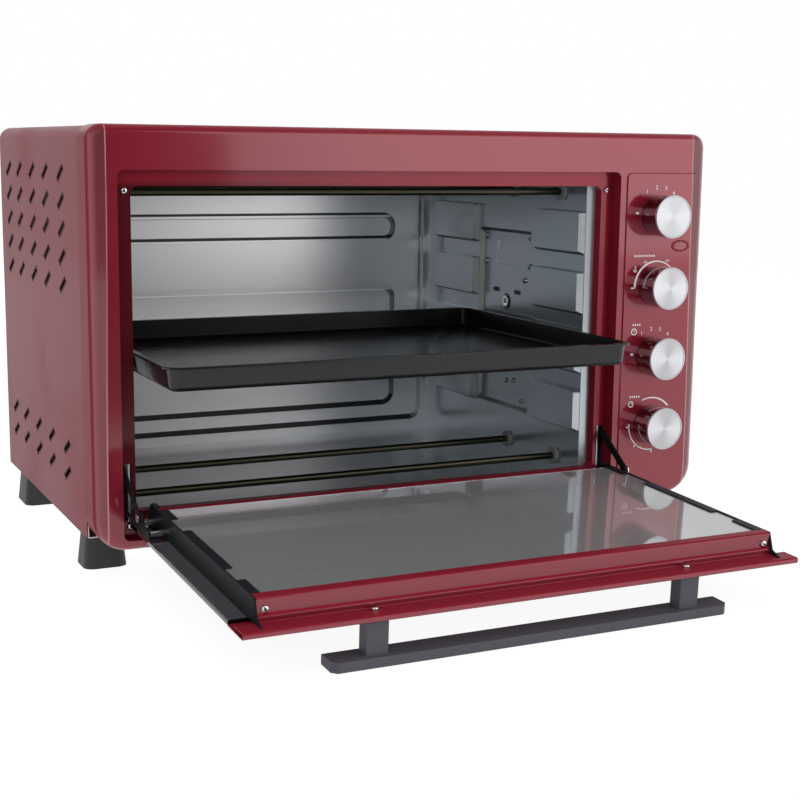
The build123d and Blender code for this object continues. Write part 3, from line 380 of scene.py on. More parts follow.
def make_relief_shading_group():
    """Painted light and shade of pressed sheet: painted shade under its steps, painted highlight on
    top of them or facing the mouth.
    """
    made, start, end = new_group(
        "relief shading",
        {"Color": (COLOR, WHITE), "Shade": (FLOAT, 0.8), "Shine": (FLOAT, 0.0),
         "Mouth": (FLOAT, 0.0), "Rim": (FLOAT, -1.0)},
        {"Color": COLOR},
    )
    facing = made.group("facing")
    under = made.math("MULTIPLY", facing["Down"], start["Shade"])
    dark = made.blend(under, start["Color"], PAINTED_SHADE_UNDER_STEP)
    top = made.math("MULTIPLY", facing["Up"], start["Shine"])
    front = made.math("MULTIPLY", facing["Front"], start["Mouth"])
    past = made.math("GREATER_THAN", made.axes(made.coordinate())["Y"], start["Rim"])
    left = made.math("MULTIPLY_ADD", past, 1.0 - RIM_LIGHT, RIM_LIGHT)
    lit = made.math("MAXIMUM", top, made.math("MULTIPLY", front, left))
    made.feed_all(end, Color=made.blend(lit, dark, WHITE))


def make_groove_shading_group():
    """Painted shade and highlight of the back's pressed grooves: painted shade under their upper edge,
    painted highlight on the lower one.
    """
    made, start, end = new_group(
        "groove shading",
        {"Color": (COLOR, WHITE), "Depth": (FLOAT, 0.0), "Centre": (FLOAT, 0.0)},
        {"Color": COLOR},
    )
    place = made.axes(made.coordinate())
    level = made.math("DIVIDE", place["Z"], GROOVE_TOP * MM)
    tone = made.steps(level, [(height / GROOVE_TOP, tone) for height, tone in GROOVE_SHADING])
    aside = made.math("ABSOLUTE", made.math("SUBTRACT", place["X"], start["Centre"]))
    groove = made.blend(made.span(aside, GROOVE_ENDS, RISE), tone, GROOVE_END_HIGHLIGHT)
    inside = made.math("GREATER_THAN", place["Y"], start["Depth"])
    made.feed_all(end, Color=made.blend(inside, start["Color"], groove))


def rounded_edge(nodes, place, start, softness=1.8 * MM, tilt=1.1):
    """Normal of a broad rounded edge down both sides of a flat front, and the mask of a painted
    highlight along its inner line.
    """
    front = nodes.span(nodes.axes(nodes.coordinate("Normal"))["Y"], FORWARD, FALL)
    far = nodes.math("ADD", start, softness)
    share = nodes.span(nodes.math("ABSOLUTE", place["X"]), (start, far), RISE)
    amount = nodes.math("MULTIPLY", nodes.math("MULTIPLY", share, front), tilt)
    lean = nodes.math("MULTIPLY", nodes.math("SIGN", place["X"]), amount)
    flat = nodes.add("ShaderNodeNewGeometry").outputs["Normal"]
    normal = nodes.vector(
        "NORMALIZE", nodes.vector("ADD", flat, nodes.add("ShaderNodeCombineXYZ", X=lean))
    )
    # Painted highlight along the edge's inner line, brightest halfway across the rounding
    peak = nodes.math("MULTIPLY", share, nodes.math("SUBTRACT", 1.0, share))
    line = nodes.math("MULTIPLY", nodes.math("MULTIPLY", peak, 4.0), front)
    return normal, line


def new_material(name):
    """An empty material and its nodes."""
    made = bpy.data.materials.new(name)
    made.use_nodes = True
    made.node_tree.nodes.clear()
    return made, Nodes(made.node_tree)


def coated(name, shade, roughness, scale=900.0, contrast=0.1, marks=0.05, bump=0.1, **inputs):
    """Painted, plated or moulded finish from the coated surface group."""
    made, nodes = new_material(name)
    coat = nodes.group(
        "coated surface", Color=shade, Scale=scale, Contrast=contrast, Roughness=roughness,
        Marks=marks,
    )
    nodes.principled(
        Base_Color=coat["Color"], Roughness=coat["Roughness"],
        Normal=nodes.bump(coat["Height"], bump, 0.2 * MM), **inputs,
    )
    return made


def grained(
    name, shade, roughness, stretch=(1.0, 1.0, 1.0), scale=600.0, contrast=0.12, spread=0.15,
    bump=0.06, metallic=1.0, relief=None, groove=None,
):
    """Bare metal with rolled grain, and with painted shade and highlight for its pressed relief or
    grooves if asked.
    """
    made, nodes = new_material(name)
    for tone, values in (("relief shading", relief), ("groove shading", groove)):
        if values:
            shade = nodes.group(tone, Color=shade, **values)["Color"]
    grain = nodes.group(
        "rolled grain", Color=shade, Stretch=stretch, Scale=scale, Contrast=contrast,
        Roughness=roughness, Spread=spread,
    )
    nodes.principled(
        Base_Color=grain["Color"], Roughness=grain["Roughness"], Metallic=metallic,
        Normal=nodes.bump(grain["Height"], bump, 0.1 * MM),
    )
    return made


def glass(name, shade, clearness, ior):
    """Polished pane, tinted by its colour."""
    made, nodes = new_material(name)
    nodes.principled(Base_Color=shade, Roughness=0.02, Transmission_Weight=clearness, IOR=ior)
    return made


def dress(material, *names):
    """Put a material on CAD nodes."""
    for name in names:
        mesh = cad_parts[name].data
        mesh.materials.clear()
        mesh.materials.append(material)


# Mesh helpers


def add_piece(name, mesh, body, slot, *materials):
    """Link a mesh as a piece of the oven that rides on a body."""
    piece = bpy.data.objects.new(name, mesh)
    bpy.context.scene.collection.objects.link(piece)
    for material in materials:
        mesh.materials.append(material)
    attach(piece, body)


def mesh_from(name, shape, smooth_below=None):
    """A mesh from a bmesh, with flat or angle-limited smooth shading."""
    bmesh.ops.recalc_face_normals(shape, faces=shape.faces)
    mesh = bpy.data.meshes.new(name)
    if smooth_below is not None:
        for face in shape.faces:
            face.smooth = True
        for edge in shape.edges:
            edge.smooth = len(edge.link_faces) == 2 and edge.calc_face_angle(0) < smooth_below
    shape.to_mesh(mesh)
    shape.free()
    return mesh


def ribbon(shape, points, widths, ink):
    """A thin closed strip on the panel along points in X and Z, with a width for each point."""
    sides = []
    for n, (x, z) in enumerate(points):
        ahead = Vector(points[min(n + 1, len(points) - 1)]) - Vector(points[max(n - 1, 0)])
        across = Vector((-ahead.y, ahead.x)).normalized() * widths[n] / 2
        corners = []
        for way in (-1, 1):
            for y in (PANEL_FACE - ink, PANEL_FACE - 0.1 * ink):
                corners.append(shape.verts.new((x + way * across.x, y, z + way * across.y)))
        sides.append(corners)
    for near, far in zip(sides, sides[1:]):
        for a, b in ((0, 2), (2, 3), (3, 1), (1, 0)):
            shape.faces.new((near[a], near[b], far[b], far[a]))
    for corners in (sides[0], sides[-1]):
        shape.faces.new((corners[0], corners[1], corners[3], corners[2]))


def polar(centre, radius, degrees):
    """Point at a radius and a clockwise angle from the top, round a knob."""
    turn = math.radians(degrees)
    return centre[0] + radius * math.sin(turn), centre[1] + radius * math.cos(turn)


def sweep(centre, radius, start, end, steps=48):
    """Points along an arc round a knob."""
    return [polar(centre, radius, start + (end - start) * n / steps) for n in range(steps + 1)]


def figures(text, place, height, ink):
    """Flat figures on the panel as a mesh."""
    letters = bpy.data.curves.new("figures", "FONT")
    letters.body = text
    letters.size = height
    letters.extrude = ink / 2
    letters.align_x = letters.align_y = "CENTER"
    letters.resolution_u = 3
    carrier = bpy.data.objects.new("figures", letters)
    mesh = bpy.data.meshes.new_from_object(carrier)
    bpy.data.objects.remove(carrier)
    bpy.data.curves.remove(letters)
    onto_panel = Matrix.Translation((place[0], PANEL_FACE - ink / 2, place[1]))
    mesh.transform(onto_panel @ Matrix.Rotation(math.pi / 2, 4, "X"))
    return mesh


def islands(node):
    """Corner points of each separate solid of a CAD node."""
    shape = bmesh.new()
    shape.from_mesh(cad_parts[node].data)
    bmesh.ops.remove_doubles(shape, verts=shape.verts, dist=1e-6)
    left, found = set(shape.verts), []
    while left:
        stack, points = [left.pop()], []
        while stack:
            vert = stack.pop()
            points.append(vert.co.copy())
            for edge in vert.link_edges:
                other = edge.other_vert(vert)
                if other in left:
                    left.remove(other)
                    stack.append(other)
        found.append(points)
    shape.free()
    return found


def screw_heads(node):
    """Middle of the outer face, direction and radius of the head of each screw of a CAD node."""
    found = []
    for points in islands(node):
        low = Vector([min(p[k] for p in points) for k in range(3)])
        high = Vector([max(p[k] for p in points) for k in range(3)])
        size, middle = high - low, (low + high) / 2
        # The two sizes across a screw are alike, and its head is at the wider end
        axis = min(range(3), key=lambda k: abs(size[k - 1] - size[k - 2]))
        reach = {}
        for way in (-1, 1):
            end = [p for p in points if way * (p[axis] - middle[axis]) > END_SHARE * size[axis]]
            reach[way] = max(abs(p[k] - middle[k]) for p in end for k in range(3) if k != axis)
        way = max(reach, key=reach.get)
        middle[axis] = high[axis] if way > 0 else low[axis]
        ahead = Vector((0, 0, 0))
        ahead[axis] = way
        found.append((middle, ahead, reach[way]))
    return sorted(found, key=lambda head: tuple(round(v, 5) for v in head[0]))


def dome_with_cross(shape, place, ahead, radius, sizes, around=24):
    """A domed cap on a screw head, with a dark cross on it as the painted shadow of its recess."""
    turn = Matrix.Translation(place) @ ahead.to_track_quat("Z", "Y").to_matrix().to_4x4()
    angles = [2 * math.pi * n / around for n in range(around)]
    levels = []
    for reach, rise in DOME_PROFILE:
        levels.append([
            shape.verts.new(turn @ Vector((
                radius * reach * math.cos(t), radius * reach * math.sin(t), rise * sizes.dome
            ))) for t in angles
        ])
    for low, high in zip(levels, levels[1:]):
        for n in range(around):
            m = (n + 1) % around
            shape.faces.new((low[n], low[m], high[m], high[n]))
    shape.faces.new(levels[-1])
    shape.faces.new(levels[0][::-1])
    onto_dome = turn @ Matrix.Translation((0, 0, CROSS_RISE * sizes.dome))
    reach = CROSS_REACH * radius
    for long, wide in ((reach, sizes.slot_width), (sizes.slot_width, reach)):
        scale = Matrix.Diagonal((long, wide, sizes.dome, 1.0))
        made = bmesh.ops.create_cube(shape, size=1.0, matrix=onto_dome @ scale)
        for face in {face for vert in made["verts"] for face in vert.link_faces}:
            face.material_index = 1


def slit_outline(shape, centre, grow, x):
    """Corners of a slanted slit in a side wall, grown by a margin in mm, at one X."""
    high = SLIT_HIGH + grow
    long, short = SLIT_LONG + LONG_GROWTH * grow, SLIT_SHORT + SHORT_GROWTH * grow
    points = []
    for u, v in ((-long, -high), (short, -high), (long, high), (-short, high)):
        y = centre[0] + u * math.cos(SLIT_SLOPE) + v * math.sin(SLIT_SLOPE)
        z = centre[1] - u * math.sin(SLIT_SLOPE) + v * math.cos(SLIT_SLOPE)
        points.append(shape.verts.new((x, y * MM, z * MM)))
    return points


# Operators


class OVEN_OT_groups(bpy.types.Operator):
    """Make the shader groups that the finishes share"""

    bl_idname = "oven.groups"
    bl_label = "Shader Groups"

    def execute(self, context):
        make_grain_group()
        make_coat_group()
        make_speckle_group()
        make_facing_group()
        make_relief_shading_group()
        make_groove_shading_group()
        return {"FINISHED"}


class OVEN_OT_paint(bpy.types.Operator):
    """Paint the casing, the front frame and the door rails"""

    bl_idname = "oven.paint"
    bl_label = "Painted Metal"

    def execute(self, context):
        finish = context.scene.oven_finish
        dress(self.front_paint(finish), "front_frame", "door_top_rail", "door_bottom_rail")
        side = coated(
            "red side paint", finish.paint, 0.30, scale=420.0, contrast=0.08, marks=0.06, bump=0.04,
            IOR=1.13,
        )
        dress(side, "casing_wrap")
        return {"FINISHED"}

    def front_paint(self, finish):
        """Metallic paint under a clear coat that is dull where it is seen edge on, with a painted
        highlight along its rounded side edges and painted shadow inside the mouth.
        """
        made, nodes = new_material("red paint")
        place = nodes.axes(nodes.coordinate())
        facing = nodes.group("facing")
        normal, line = rounded_edge(nodes, place, nodes.span(place["Z"], EDGE_HEIGHTS, EDGE_STARTS))
        # A painted highlight along the inner line of the rounded side edges
        highlighted = nodes.blend(nodes.math("MULTIPLY", line, 0.5), finish.paint, EDGE_HIGHLIGHT)

        # Painted shadow on the faces inside the mouth, strongest at the left and faint on its top
        # ledge
        within = nodes.math("LESS_THAN", nodes.math("ABSOLUTE", place["X"]), MOUTH_REACH)
        below = nodes.math("LESS_THAN", place["Z"], MOUTH_TOP)
        past = nodes.span(place["Y"], MOUTH_DEPTHS, RISE)
        deep = nodes.math("MULTIPLY", past, nodes.math("MULTIPLY", within, below))
        to_right = nodes.span(place["X"], (-0.2, 0.1), (0.85, 0.1))
        to_top = nodes.span(place["Z"], (0.318, 0.326), (1.0, 0.15))
        shadow = nodes.math("MULTIPLY", deep, nodes.math("MULTIPLY", to_right, to_top))
        coat = nodes.group(
            "coated surface", Color=nodes.blend(shadow, highlighted, MOUTH_SHADOW),
            Scale=420.0, Contrast=0.06, Roughness=0.36, Marks=0.04,
        )

        on_top = nodes.span(place["Z"], ABOVE_DOOR, (1.0, 0.75))
        up = nodes.math("MULTIPLY", facing["Up"], on_top)
        aside = nodes.math("MAXIMUM", facing["Side"], up)
        dull = nodes.math("MAXIMUM", aside, nodes.math("MULTIPLY", deep, 0.6))
        on_door = nodes.span(place["Z"], ABOVE_DOOR, (0.9, 0.0))
        plain = nodes.math("MAXIMUM", facing["Side"], nodes.math("MULTIPLY", facing["Up"], on_door))
        nodes.principled(
            Base_Color=coat["Color"], Roughness=coat["Roughness"],
            Metallic=nodes.span(plain, (0.0, 1.0), (0.5, 0.0)), IOR=1.13,
            Coat_Weight=nodes.math("SUBTRACT", 1.0, dull), Coat_Roughness=0.08, Coat_IOR=1.60,
            Normal=normal, Coat_Normal=normal,
        )
        return made


class OVEN_OT_cavity(bpy.types.Operator):
    """Finish the cavity, its heaters, its bushes and the bare sheets round it"""

    bl_idname = "oven.cavity"
    bl_label = "Cavity"

    def execute(self, context):
        finish = context.scene.oven_finish
        rolled = {
            "stretch": (0.12, 1.0, 1.0), "scale": 260.0, "contrast": 0.06, "spread": 0.05,
            "bump": 0.012, "metallic": 0.75,
        }
        # Ceiling and floor: a darker copy of the liner colour, as painted shade
        dress(grained("liner steel", finish.shaded_liner_level, 0.26, **rolled), "cavity_top", "cavity_floor")
        # Back: painted shade under its pressed steps, a painted highlight on top of them, and painted
        # shade and highlight lines in its grooves
        back = grained(
            "liner steel back", finish.liner, 0.31, relief={"Shade": 0.95, "Shine": 0.8},
            groove={"Depth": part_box("cavity_back")[0].y + MM, "Centre": -0.04}, **rolled,
        )
        dress(back, "cavity_back")
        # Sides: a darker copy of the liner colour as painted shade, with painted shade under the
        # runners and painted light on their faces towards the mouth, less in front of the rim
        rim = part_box("cavity_right_wall")[0].y + 4 * MM
        side = grained(
            "shaded liner steel sides", finish.shaded_liner_side, 0.24, stretch=(1.0, 0.12, 1.0), scale=60.0,
            contrast=0.02, spread=0.01, bump=0.0, metallic=0.74,
            relief={"Shade": 0.8, "Mouth": 1.0, "Rim": rim},
        )
        dress(side, "cavity_left_wall", "cavity_right_wall")
        sheath = grained(
            "heater sheath", (0.066, 0.064, 0.044), 0.34, stretch=(0.1, 1.0, 1.0), scale=900.0
        )
        dress(sheath, "upper_heaters", "lower_heaters")
        bush = coated("ceramic bush", (0.30, 0.30, 0.29), 0.45, scale=1500.0, contrast=0.08, bump=0.12)
        dress(bush, "heater_bushes")
        zinc = grained(
            "zinc steel", (0.58, 0.60, 0.62), 0.38, stretch=(1.0, 1.0, 0.3), scale=180.0, contrast=0.25
        )
        dress(zinc, "base_plate", "rear_cover", "hinge_bracket_left", "hinge_bracket_right")
        return {"FINISHED"}


class OVEN_OT_door(bpy.types.Operator):
    """Finish the door's panes, side plates, hinges and handle"""

    bl_idname = "oven.door"
    bl_label = "Door"

    def execute(self, context):
        finish = context.scene.oven_finish
        dress(glass("inner glass", (0.90, 0.91, 0.92), clearness=0.75, ior=2.6), "door_inner_glass")
        dress(glass("outer glass", (0.05, 0.052, 0.056), clearness=1.0, ior=1.5), "door_outer_glass")
        dark = coated(
            "dark coat", finish.dark_coat, 0.42, scale=1400.0, contrast=0.2, bump=0.12, IOR=1.13
        )
        plates = ("door_plate_left", "door_plate_right")
        dress(dark, *plates, "hinge_leaves", "stay_arm_left", "stay_arm_right")
        grip = coated(
            "handle coat", finish.handle, 0.5, scale=1500.0, contrast=0.12, bump=0.12, IOR=1.21
        )
        dress(grip, "handle_bar", "handle_posts")
        return {"FINISHED"}


class OVEN_OT_tray(bpy.types.Operator):
    """Enamel the tray"""

    bl_idname = "oven.tray"
    bl_label = "Tray"

    def execute(self, context):
        finish = context.scene.oven_finish
        made, nodes = new_material("tray enamel")
        coat = nodes.group(
            "coated surface", Color=finish.enamel, Scale=500.0, Contrast=0.3, Roughness=0.24, Marks=0.1
        )
        speck = nodes.group(
            "speckle", Color=coat["Color"], Speck=(0.05, 0.05, 0.055), Scale=420.0, Amount=0.10
        )
        nodes.principled(
            Base_Color=speck["Color"], Roughness=coat["Roughness"], IOR=1.20,
            Coat_Weight=nodes.math("MULTIPLY", self.outer_walls(nodes), 0.7), Coat_Roughness=0.10,
            Normal=nodes.bump(coat["Height"], 0.05, 0.2 * MM),
        )
        dress(made, "tray")
        return {"FINISHED"}

    def outer_walls(self, nodes, reach=15 * MM):
        """1 on the upright faces near the tray's front and left edges, 0 elsewhere."""
        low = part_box("tray")[0]
        place = nodes.axes(nodes.coordinate())
        facing = nodes.group("facing")
        front = nodes.math("LESS_THAN", place["Y"], low.y + reach)
        left = nodes.math("LESS_THAN", place["X"], low.x + reach)
        level = nodes.math("MAXIMUM", facing["Up"], facing["Down"])
        upright = nodes.math("SUBTRACT", 1.0, level)
        return nodes.math("MULTIPLY", nodes.math("MAXIMUM", front, left), upright)


class OVEN_OT_knobs(bpy.types.Operator):
    """Finish the knobs, their caps, shafts, switches, the indicator, the feet and the gland"""

    bl_idname = "oven.knobs"
    bl_label = "Knobs"

    def execute(self, context):
        finish = context.scene.oven_finish
        plated = coated(
            "dark plating", finish.knob, 0.07, scale=1800.0, contrast=0.06, bump=0.01, Metallic=1.0
        )
        dress(plated, *(f"{name}_knob" for name in CONTROLS))
        dress(self.spun_metal(finish), *(f"{name}_knob_cap" for name in CONTROLS))
        brass = grained("shaft brass", (0.70, 0.55, 0.26), 0.30, stretch=(1.0, 0.2, 1.0), scale=900.0)
        dress(brass, *(f"{name}_shaft" for name in CONTROLS))
        housing = coated(
            "switch housing", (0.035, 0.035, 0.038), 0.5, scale=1200.0, contrast=0.2, bump=0.2
        )
        dress(housing, *(f"{name}_control" for name in CONTROLS), "drive_motor", "indicator_lamp")
        dress(self.lens(), "indicator_lens")
        foot = coated(
            "foot plastic", (0.028, 0.028, 0.030), 0.55, scale=1300.0, contrast=0.25, bump=0.25
        )
        for end in ("front", "rear"):
            dress(foot, f"{end}_foot_left", f"{end}_foot_right")
        rubber = coated("gland rubber", (0.022, 0.022, 0.022), 0.7, contrast=0.2, bump=0.2)
        dress(rubber, "lead_gland")
        return {"FINISHED"}

    def spun_metal(self, finish):
        """Aluminium turned round the knob's axis."""
        made, nodes = new_material("spun aluminium")
        coat = nodes.group(
            "coated surface", Color=finish.cap, Scale=1500.0, Contrast=0.05, Roughness=0.36, Marks=0.04
        )
        turning = nodes.add("ShaderNodeTangent", {"direction_type": "RADIAL", "axis": "Y"})
        nodes.principled(
            Base_Color=coat["Color"], Roughness=coat["Roughness"], Metallic=1.0, Anisotropic=0.85,
            Tangent=turning,
        )
        return made

    def lens(self):
        """Red lens, deeper in colour towards its edge."""
        low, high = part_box("indicator_lens")
        centre = ((low.x + high.x) / 2, 0.0, (low.z + high.z) / 2)
        to_edge = (2 / (high.x - low.x), 0.0, 2 / (high.z - low.z))
        made, nodes = new_material("red lens")
        away = nodes.vector("SUBTRACT", nodes.coordinate(), centre)
        reach = nodes.vector("LENGTH", nodes.vector("MULTIPLY", away, to_edge)).outputs["Value"]
        rim = nodes.span(reach, (0.62, 0.78), RISE)
        nodes.principled(
            Base_Color=nodes.blend(rim, (0.40, 0.035, 0.055), (0.30, 0.0, 0.008)), Roughness=0.12,
            Transmission_Weight=0.2, IOR=1.3, Coat_Weight=nodes.span(rim, (0.0, 1.0), FALL),
        )
        return made


class OVEN_OT_screws(bpy.types.Operator):
    """Cap the screws with domed heads whose dark crosses are painted recess shadow, and finish the
    small bright parts
    """

    bl_idname = "oven.screws"
    bl_label = "Screws"

    def execute(self, context):
        sizes = context.scene.oven_screws
        bright = grained("bright plating", (0.74, 0.74, 0.75), 0.18, scale=1500.0, contrast=0.1)
        dress(bright, "foot_screws", "door_rivets", "hinge_pins", "stay_springs", "drive_socket")
        dark = coated("recess shadow", (0.015, 0.015, 0.016), 0.6, bump=0.05)
        for node, body in SCREWS.items():
            dress(bright, node)
            shape = bmesh.new()
            for place, ahead, radius in screw_heads(node):
                dome_with_cross(shape, place, ahead, radius, sizes)
            mesh = mesh_from(f"{node}_heads", shape, smooth_below=0.7)
            add_piece(f"{node}_heads", mesh, body, "bright_screw", bright, dark)
        return {"FINISHED"}


class OVEN_OT_vent_shadows(bpy.types.Operator):
    """Give each vent slit a thin dark ring as the painted shadow of its pressed edge"""

    bl_idname = "oven.vents"
    bl_label = "Vent Shadows"

    def execute(self, context):
        made = coated("vent shadow", (0.020, 0.003, 0.005), 0.5, bump=0.05, IOR=1.2)
        low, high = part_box("casing_wrap")
        shape = bmesh.new()
        for face, out in ((low.x, -1), (high.x, 1)):
            for y in VENT_COLUMNS:
                for z in VENT_ROWS:
                    self.ring(shape, (y, z), face, out)
        mesh = mesh_from("vent_shadows", shape, smooth_below=0.5)
        add_piece("vent_shadows", mesh, "cabinet", "dark_steel", made)
        return {"FINISHED"}

    def ring(self, shape, centre, face, out):
        """A thin ring round one slit, dark as the painted shadow of its pressed edge."""
        near, far = face - out * VENT_SHADOW_SINK * MM, face + out * VENT_SHADOW_HEIGHT * MM
        corners = ((0, near), (0, far), (VENT_SHADOW_WIDTH, far), (VENT_SHADOW_WIDTH, near))
        loops = [slit_outline(shape, centre, grow, x) for grow, x in corners]
        for one, two in zip(loops, loops[1:] + loops[:1]):
            for n in range(len(one)):
                m = (n + 1) % len(one)
                shape.faces.new((one[n], one[m], two[m], two[n]))


class OVEN_OT_scales(bpy.types.Operator):
    """Print the scales round the knobs"""

    bl_idname = "oven.scales"
    bl_label = "Printed Scales"

    def execute(self, context):
        sizes = context.scene.oven_printing
        finish = context.scene.oven_finish
        made = coated(
            "panel printing", finish.printing, 0.4, scale=2000.0, contrast=0.04, bump=0.02,
            Coat_Weight=0.5,
        )
        for name in CONTROLS:
            low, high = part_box(f"{name}_knob")
            centre = ((low.x + high.x) / 2, (low.z + high.z) / 2)
            shape = bmesh.new()
            self.draw_scale(shape, name, centre, sizes)
            mesh = mesh_from(f"{name}_scale", shape)
            add_piece(f"{name}_scale", mesh, "cabinet", "cap_aluminium", made)
        return {"FINISHED"}

    def draw_scale(self, shape, name, centre, sizes):
        """Marks, arcs and figures of one knob, in mm from its middle and degrees from the top."""
        pen, ink = sizes.stroke, sizes.ink

        def line(*points, width=pen):
            ribbon(shape, points, [width] * len(points), ink)

        def tick(degrees, near, far, width=pen):
            line(polar(centre, near * MM, degrees), polar(centre, far * MM, degrees), width=width)

        def arc(radius, start, end, thin, thick):
            points = sweep(centre, radius * MM, start, end)
            last = len(points) - 1
            widths = [(thin + (thick - thin) * n / last) * MM for n in range(last + 1)]
            ribbon(shape, points, widths, ink)

        def numeral(text, degrees, radius, size=1.0):
            mesh = figures(text, polar(centre, radius * MM, degrees), sizes.figure * size, ink)
            shape.from_mesh(mesh)
            bpy.data.meshes.remove(mesh)

        def bars(first, last, height, count):
            for n in range(count):
                x = centre[0] + (first + (last - first) * (n + 0.5) / count) * MM
                z = centre[1] + height * MM
                line((x, z - 0.9 * MM), (x, z + 0.9 * MM), width=0.55 * (last - first) / count * MM)

        def dial(x, z, radius, hand):
            middle = (centre[0] + x * MM, centre[1] + z * MM)
            line(*sweep(middle, radius * MM, 0, 360, steps=24), width=0.8 * pen)
            line(middle, (middle[0] + hand[0] * MM, middle[1] + hand[1] * MM), width=0.8 * pen)

        if name == "function":
            tick(-84, 22.6, 25.6, 1.8 * pen)
            for degrees, text in ((-32, "1"), (-7, "2"), (16, "3"), (38, "4")):
                numeral(text, degrees, 26.2)
        elif name == "thermostat":
            bars(-26.0, -2.0, 29.0, 9)
            line(polar(centre, 29.6 * MM, -51), polar(centre, 29.8 * MM, -60), width=1.2 * pen)
            dial(-24.0, 15.2, 1.1, (0.0, 4.6))
            arc(23.8, -92, 42, 2.3, 0.9)
            tick(-92, 23.0, 28.0, 1.2 * pen)
            for degrees, text in ((-30, "100"), (26, "150")):
                numeral(text, degrees, 26.6, 0.6)
        elif name == "heater":
            bars(-25.0, -15.0, 30.5, 4)
            dial(-22.6, 24.0, 2.8, (0.0, 1.6))
            tick(-84, 22.6, 25.6, 1.8 * pen)
            for degrees, text in ((-32, "1"), (-7, "2"), (15, "3"), (38, "4")):
                numeral(text, degrees, 26.0)
        else:
            bars(-25.0, -13.0, 28.0, 5)
            dial(-23.0, 21.0, 2.6, (1.2, 1.2))
            arc(26.2, -23, 49, 1.0, 1.7)
            arc(24.2, -85, -188, 1.1, 1.1)
            for degrees in (-92, -139, -186):
                tick(degrees, 24.0, 27.4, 1.2 * pen)


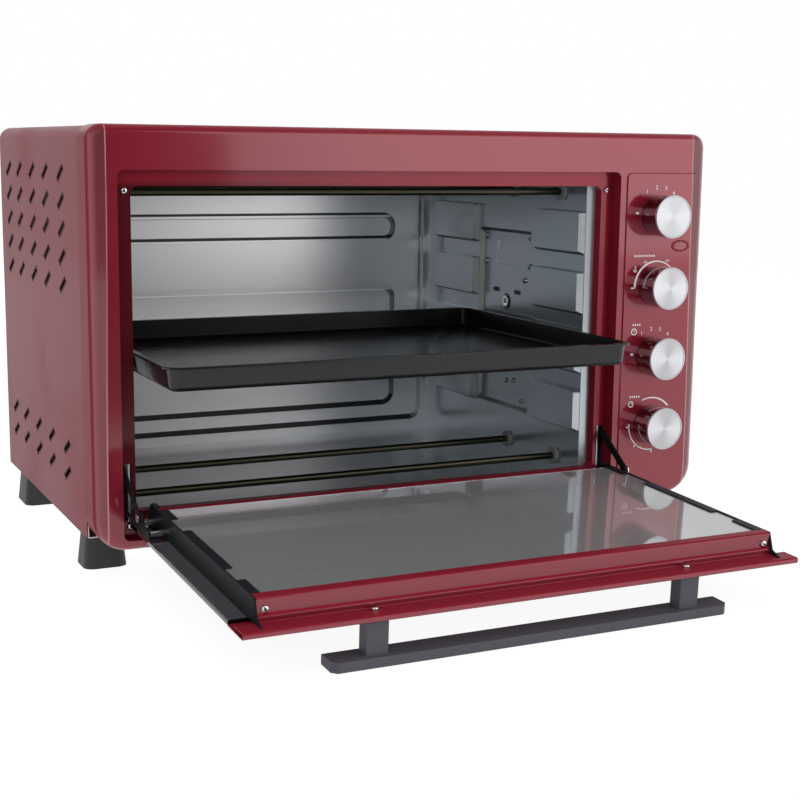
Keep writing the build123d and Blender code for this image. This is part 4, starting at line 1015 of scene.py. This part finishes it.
class OVEN_OT_stage(bpy.types.Operator):
    """Set the floor, the light and the camera"""

    bl_idname = "oven.stage"
    bl_label = "Studio"

    def execute(self, context):
        studio = context.scene.oven_studio
        self.lay_floor(studio)
        self.light(context, studio)
        self.place_camera(context)
        context.scene.view_settings.view_transform = "Standard"
        return {"FINISHED"}

    def lay_floor(self, studio):
        """A plain round floor that keeps the oven's shadow and turns to pure white at its edge."""
        shape = bmesh.new()
        bmesh.ops.create_circle(shape, cap_ends=True, segments=96, radius=FLOOR_RADIUS)
        floor = bpy.data.objects.new("floor", mesh_from("floor", shape))
        bpy.context.scene.collection.objects.link(floor)
        made, nodes = new_material("floor")
        point = nodes.add("ShaderNodeNewGeometry").outputs["Position"]
        place = nodes.axes(point)
        ahead = nodes.span(place["Y"], (-0.95, -0.45), FALL)
        left = nodes.span(nodes.math("DIVIDE", place["X"], place["Y"]), (-0.45, -0.15), RISE)
        gloss = nodes.add("ShaderNodeLightPath").outputs["Is Glossy Ray"]
        dim = nodes.math("MULTIPLY", nodes.math("MULTIPLY", ahead, left), gloss)
        strength = nodes.span(dim, (0.0, 1.0), (WHITE_LEVEL, studio.front_room))
        away = nodes.vector("LENGTH", point).outputs["Value"]
        share = nodes.span(away, (0.7, 2.2), (0.78, 1.0))
        seen = nodes.math("MULTIPLY", nodes.background_rays(), share)
        mix = nodes.add("ShaderNodeMixShader", Fac=seen)
        nodes.feed(mix.inputs[1], nodes.add("ShaderNodeBsdfDiffuse", Color=studio.floor))
        nodes.feed(mix.inputs[2], nodes.add("ShaderNodeEmission", Color=WHITE, Strength=strength))
        nodes.add("ShaderNodeOutputMaterial", Surface=mix)
        floor.data.materials.append(made)

    def light(self, context, studio):
        """Even room light, darker in gloss towards the front left, and three soft lamps."""
        world = bpy.data.worlds.new("room")
        context.scene.world = world
        world.use_nodes = True
        world.node_tree.nodes.clear()
        nodes = Nodes(world.node_tree)
        ray = nodes.axes(nodes.coordinate("Generated"))
        behind = nodes.span(ray["Y"], (-0.5, 0.3), (studio.front_room, 1.0))
        beside = nodes.span(ray["X"], (0.25, 0.42), (studio.front_room, 1.0))
        gloss = nodes.add("ShaderNodeLightPath").outputs["Is Glossy Ray"]
        seen = nodes.blend(gloss, 1.0, nodes.math("MAXIMUM", behind, beside), kind="FLOAT")
        level = nodes.blend(nodes.background_rays(), studio.daylight, seen, kind="FLOAT")
        sky = nodes.add("ShaderNodeBackground", Color=WHITE, Strength=level)
        nodes.add("ShaderNodeOutputWorld", Surface=sky)
        for name, place, aim, size, power in (
            ("key", (1.95, -2.3, 1.05), (0.05, 0.0, 0.2), (2.9, 2.1), studio.key),
            ("top", (-0.5, -1.0, 2.6), (0.0, 0.0, 0.2), (1.6, 1.6), studio.top),
            ("fill", (-1.0, -1.75, 0.75), (0.1, 0.25, 0.2), (0.9, 0.9), studio.fill),
        ):
            lamp = bpy.data.lights.new(name, "AREA")
            lamp.shape = "RECTANGLE"
            lamp.size, lamp.size_y = size
            lamp.energy = power
            holder = bpy.data.objects.new(name, lamp)
            holder.location = place
            holder.rotation_euler = (Vector(aim) - Vector(place)).to_track_quat("-Z", "Y").to_euler()
            bpy.context.scene.collection.objects.link(holder)

    def place_camera(self, context):
        """The photograph's camera, from its turn, tilt and roll."""
        flat = math.cos(CAMERA_TILT)
        forward = Vector((
            math.sin(CAMERA_TURN) * flat, math.cos(CAMERA_TURN) * flat, -math.sin(CAMERA_TILT)
        ))
        level = Vector((math.cos(CAMERA_TURN), -math.sin(CAMERA_TURN), 0.0))
        upright = level.cross(forward)
        right = math.cos(CAMERA_ROLL) * level + math.sin(CAMERA_ROLL) * upright
        up = -math.sin(CAMERA_ROLL) * level + math.cos(CAMERA_ROLL) * upright
        view = bpy.data.cameras.new("camera")
        view.sensor_width, view.lens = SENSOR_WIDTH, FOCAL_LENGTH
        view.clip_start, view.clip_end = 0.02, 60.0
        camera = bpy.data.objects.new("camera", view)
        turn = Matrix((right, up, -forward)).transposed().to_4x4()
        camera.matrix_world = Matrix.Translation(CAMERA_PLACE) @ turn
        bpy.context.scene.collection.objects.link(camera)
        context.scene.camera = camera


STEPS = (
    OVEN_OT_groups, OVEN_OT_paint, OVEN_OT_cavity, OVEN_OT_door, OVEN_OT_tray, OVEN_OT_knobs,
    OVEN_OT_screws, OVEN_OT_vent_shadows, OVEN_OT_scales, OVEN_OT_stage,
)


class OVEN_PT_panel(bpy.types.Panel):
    """Steps and settings of the oven"""

    bl_idname = "OVEN_PT_panel"
    bl_label = "Countertop Oven"
    bl_space_type = "VIEW_3D"
    bl_region_type = "UI"
    bl_category = "Oven"

    def draw(self, context):
        for group in SETTINGS:
            settings = getattr(context.scene, group)
            column = self.layout.column(align=True)
            for key in settings.__annotations__:
                column.prop(settings, key)
        for step in STEPS:
            self.layout.operator(step.bl_idname)


SETTINGS = {
    "oven_finish": OvenFinish, "oven_printing": OvenPrinting, "oven_screws": OvenScrews,
    "oven_studio": OvenStudio,
}


def register():
    """Register the settings, the steps and the panel."""
    for name, kind in SETTINGS.items():
        bpy.utils.register_class(kind)
        setattr(bpy.types.Scene, name, PointerProperty(type=kind))
    for step in STEPS + (OVEN_PT_panel,):
        bpy.utils.register_class(step)


def unregister():
    """Take everything that register added away again."""
    for step in reversed(STEPS + (OVEN_PT_panel,)):
        bpy.utils.unregister_class(step)
    for name, kind in SETTINGS.items():
        delattr(bpy.types.Scene, name)
        bpy.utils.unregister_class(kind)


def main():
    """Run every step in order."""
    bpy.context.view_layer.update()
    register()
    for step in STEPS:
        area, name = step.bl_idname.split(".")
        getattr(getattr(bpy.ops, area), name)()


if __name__ == "__main__":
    main()
